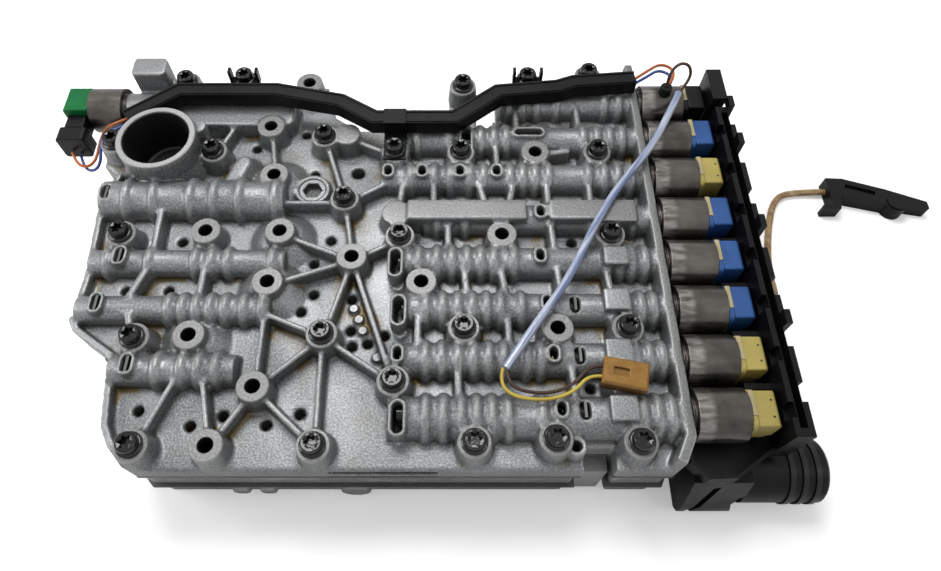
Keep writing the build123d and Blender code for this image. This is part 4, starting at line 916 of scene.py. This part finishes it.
# %% Cables
ROUTES = {
    "orange_wires": [
        [(-175.0, 72.8, 50.0), (-171.0, 64.0, 48.0), (-161.5, 65.5, 48.0), (-159.0, 80.0, 54.5),
         (-152.5, 81.2, 61.5), (-144.6, 79.0, 67.2), (-136.2, 81.8, 68.8)],
        [(137.5, 108.6, 69.0), (147.0, 115.5, 69.8), (154.0, 120.2, 70.0), (160.5, 117.3, 70.0),
         (160.8, 110.0, 69.6), (157.0, 105.1, 69.0)]],
    "blue_wires": [
        [(-171.5, 72.8, 47.5), (-168.0, 63.2, 45.0), (-158.8, 64.2, 46.5), (-156.8, 76.4, 57.5),
         (-151.0, 78.0, 61.8), (-143.8, 76.9, 65.2), (-135.8, 80.0, 67.0)],
        [(137.5, 107.0, 67.2), (146.5, 112.6, 67.8), (153.0, 117.6, 68.0), (159.4, 114.4, 68.0),
         (159.9, 108.4, 67.6), (156.9, 105.0, 67.2)]],
    "brown_wire": [
        [(155.0, 102.0, 70.95), (154.6, 104.0, 78.0), (159.5, 107.5, 83.0), (166.5, 108.2, 80.3),
         (168.0, 105.2, 72.5), (161.9, 99.6, 69.0)],
        [(60.6, -64.0, 67.2), (61.0, -69.6, 67.0), (67.0, -73.6, 66.8), (79.0, -74.6, 66.8),
         (89.5, -70.5, 66.6), (98.1, -60.5, 66.4), (105.37, -62.07, 66.4)]],
    "yellow_wire": [
        [(58.9, -62.9, 67.2), (57.0, -69.8, 67.0), (63.4, -76.4, 66.8), (78.6, -77.6, 66.8),
         (89.6, -73.5, 66.6), (97.1, -65.2, 66.4), (104.37, -66.77, 66.4)]],
    "clear_sleeve": [
        [(161.6, 99.0, 68.8), (156.0, 87.6, 68.8), (140.6, 59.6, 68.6), (119.8, 34.5, 67.6),
         (106.8, 12.3, 67.4), (91.0, -18.8, 67.4), (75.5, -40.2, 67.4), (60.0, -63.0, 67.2)]],
    "sensor_lead": [
        [(188.25, -26.0, 24.0), (204.0, -24.0, 23.8), (214.0, -4.0, 17.0), (220.0, 24.0, 5.0),
         (227.4, 53.0, 2.2), (237.0, 78.0, 2.2), (254.0, 81.0, 2.2), (270.4, 80.4, 3.2)]],
}
DIAMETERS = {"clear_sleeve": 4.0, "sensor_lead": 4.0}
WIRE_DIAMETER = 1.6
LENGTHS = {"orange_wires": (60.5, 39.4), "blue_wires": (57.4, 35.2), "brown_wire": (37.6, 55.2),
           "yellow_wire": (60.0,), "clear_sleeve": (191.7,), "sensor_lead": (157.8,)}


def cable(name, points, diameter):
    curve = bpy.data.curves.new(name, "CURVE")
    curve.dimensions = "3D"
    curve.bevel_depth = diameter / 2 * MM
    curve.bevel_resolution = 4
    curve.use_fill_caps = True
    curve.resolution_u = 12
    spline = curve.splines.new("NURBS")
    spline.points.add(len(points) - 1)
    for point, spot in zip(spline.points, points):
        point.co = (spot[0] * MM, spot[1] * MM, spot[2] * MM, 1.0)
    spline.order_u = 3
    spline.use_endpoint_u = True
    obj = bpy.data.objects.new(name, curve)
    bpy.context.scene.collection.objects.link(obj)
    return obj


for node, routes in ROUTES.items():
    diameter = DIAMETERS.get(node, WIRE_DIAMETER)
    for index, points in enumerate(routes):
        obj = cable(f"{node}_{index + 1}", points, diameter)
        place(obj, node)
        if index == 0:
            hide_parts(node)
        length = LENGTHS[node][index]
        print(obj.name, "declared", length, "mm")

# %% [markdown]
# The photograph has a white ground. A floor that glows a little for the camera stays white and
# still takes a soft contact shadow.

# %% Floor
WHITE = (0.9, 0.9, 0.9)
GLOW = 0.3
FLOOR_REACH = 4.0


def white_stage():
    material, tree, shader, _ = new_material("white_floor")
    shader.inputs["Base Color"].default_value = (*WHITE, 1.0)
    shader.inputs["Roughness"].default_value = 0.8
    rays = tree.nodes.new("ShaderNodeLightPath")
    tree.links.new(spread(tree, rays.outputs["Is Camera Ray"], 0, GLOW, 0, 1),
                   shader.inputs["Emission Strength"])
    shader.inputs["Emission Color"].default_value = (1, 1, 1, 1)
    return material


bm = bmesh.new()
bmesh.ops.create_grid(bm, x_segments=1, y_segments=1, size=FLOOR_REACH)
floor = object_from(bm, "floor")
floor.data.materials.append(white_stage())
print("floor", floor.dimensions.x, "m wide")

# %% [markdown]
# The backdrop is white to the camera, in mirrors and through clear pieces, and dimmer as a light,
# so that shadows stay. A large lamp overhead at the back gives the highlights along the tubes, and
# two weaker ones lift the sides. Their level is one at which a colour renders about as written.

# %% Light
SKY = 0.3
world = bpy.data.worlds.new("studio")
bpy.context.scene.world = world
world.use_nodes = True
background = world.node_tree.nodes["Background"]
rays = world.node_tree.nodes.new("ShaderNodeLightPath")
seen = rays.outputs["Is Camera Ray"]
for kind in ("Is Glossy Ray", "Is Transmission Ray"):
    either = world.node_tree.nodes.new("ShaderNodeMath")
    either.operation = "MAXIMUM"
    world.node_tree.links.new(seen, either.inputs[0])
    world.node_tree.links.new(rays.outputs[kind], either.inputs[1])
    seen = either.outputs[0]
world.node_tree.links.new(spread(world.node_tree, seen, SKY, 1.0, 0, 1),
                          background.inputs["Strength"])
background.inputs["Color"].default_value = (1, 1, 1, 1)


def soft_lamp(name, place_mm, aim_mm, size, power):
    light = bpy.data.lights.new(name, "AREA")
    light.shape = "RECTANGLE"
    light.size, light.size_y = size
    light.energy = power
    lamp = bpy.data.objects.new(name, light)
    bpy.context.scene.collection.objects.link(lamp)
    spot = Vector(place_mm) * MM
    lamp.location = spot
    lamp.rotation_euler = (Vector(aim_mm) * MM - spot).to_track_quat("-Z", "Y").to_euler()
    return lamp


soft_lamp("overhead", (-100, 350, 900), (0, 0, 40), (0.5, 0.4), 7.0)
soft_lamp("left_window", (-700, 0, 450), (0, 0, 40), (0.4, 0.4), 2.6)
soft_lamp("right_fill", (700, -250, 500), (60, 0, 40), (0.4, 0.5), 0.9)
print("three lamps")

# %% [markdown]
# The camera stands in front and looks down steeply. Its place, tilt and lens were worked out from
# the even pitch of the valves and the solenoids in the photograph.

# %% Camera
LENS = 26.25
SIDE_SHIFT = 0.0207
CAMERA_SPOT = (0.036, -0.1771, 0.3491)
CAMERA_TILT = 28.92

camera_data = bpy.data.cameras.new("camera")
camera_data.sensor_width = 36.0
camera_data.lens = LENS
camera_data.shift_x = SIDE_SHIFT
camera = bpy.data.objects.new("camera", camera_data)
bpy.context.scene.collection.objects.link(camera)
camera.location = CAMERA_SPOT
camera.rotation_euler = (radians(CAMERA_TILT), 0, 0)
camera_data.clip_start = 0.01
bpy.context.scene.camera = camera
bpy.context.scene.view_settings.view_transform = "Standard"
print("camera at", tuple(round(value, 3) for value in camera.location))
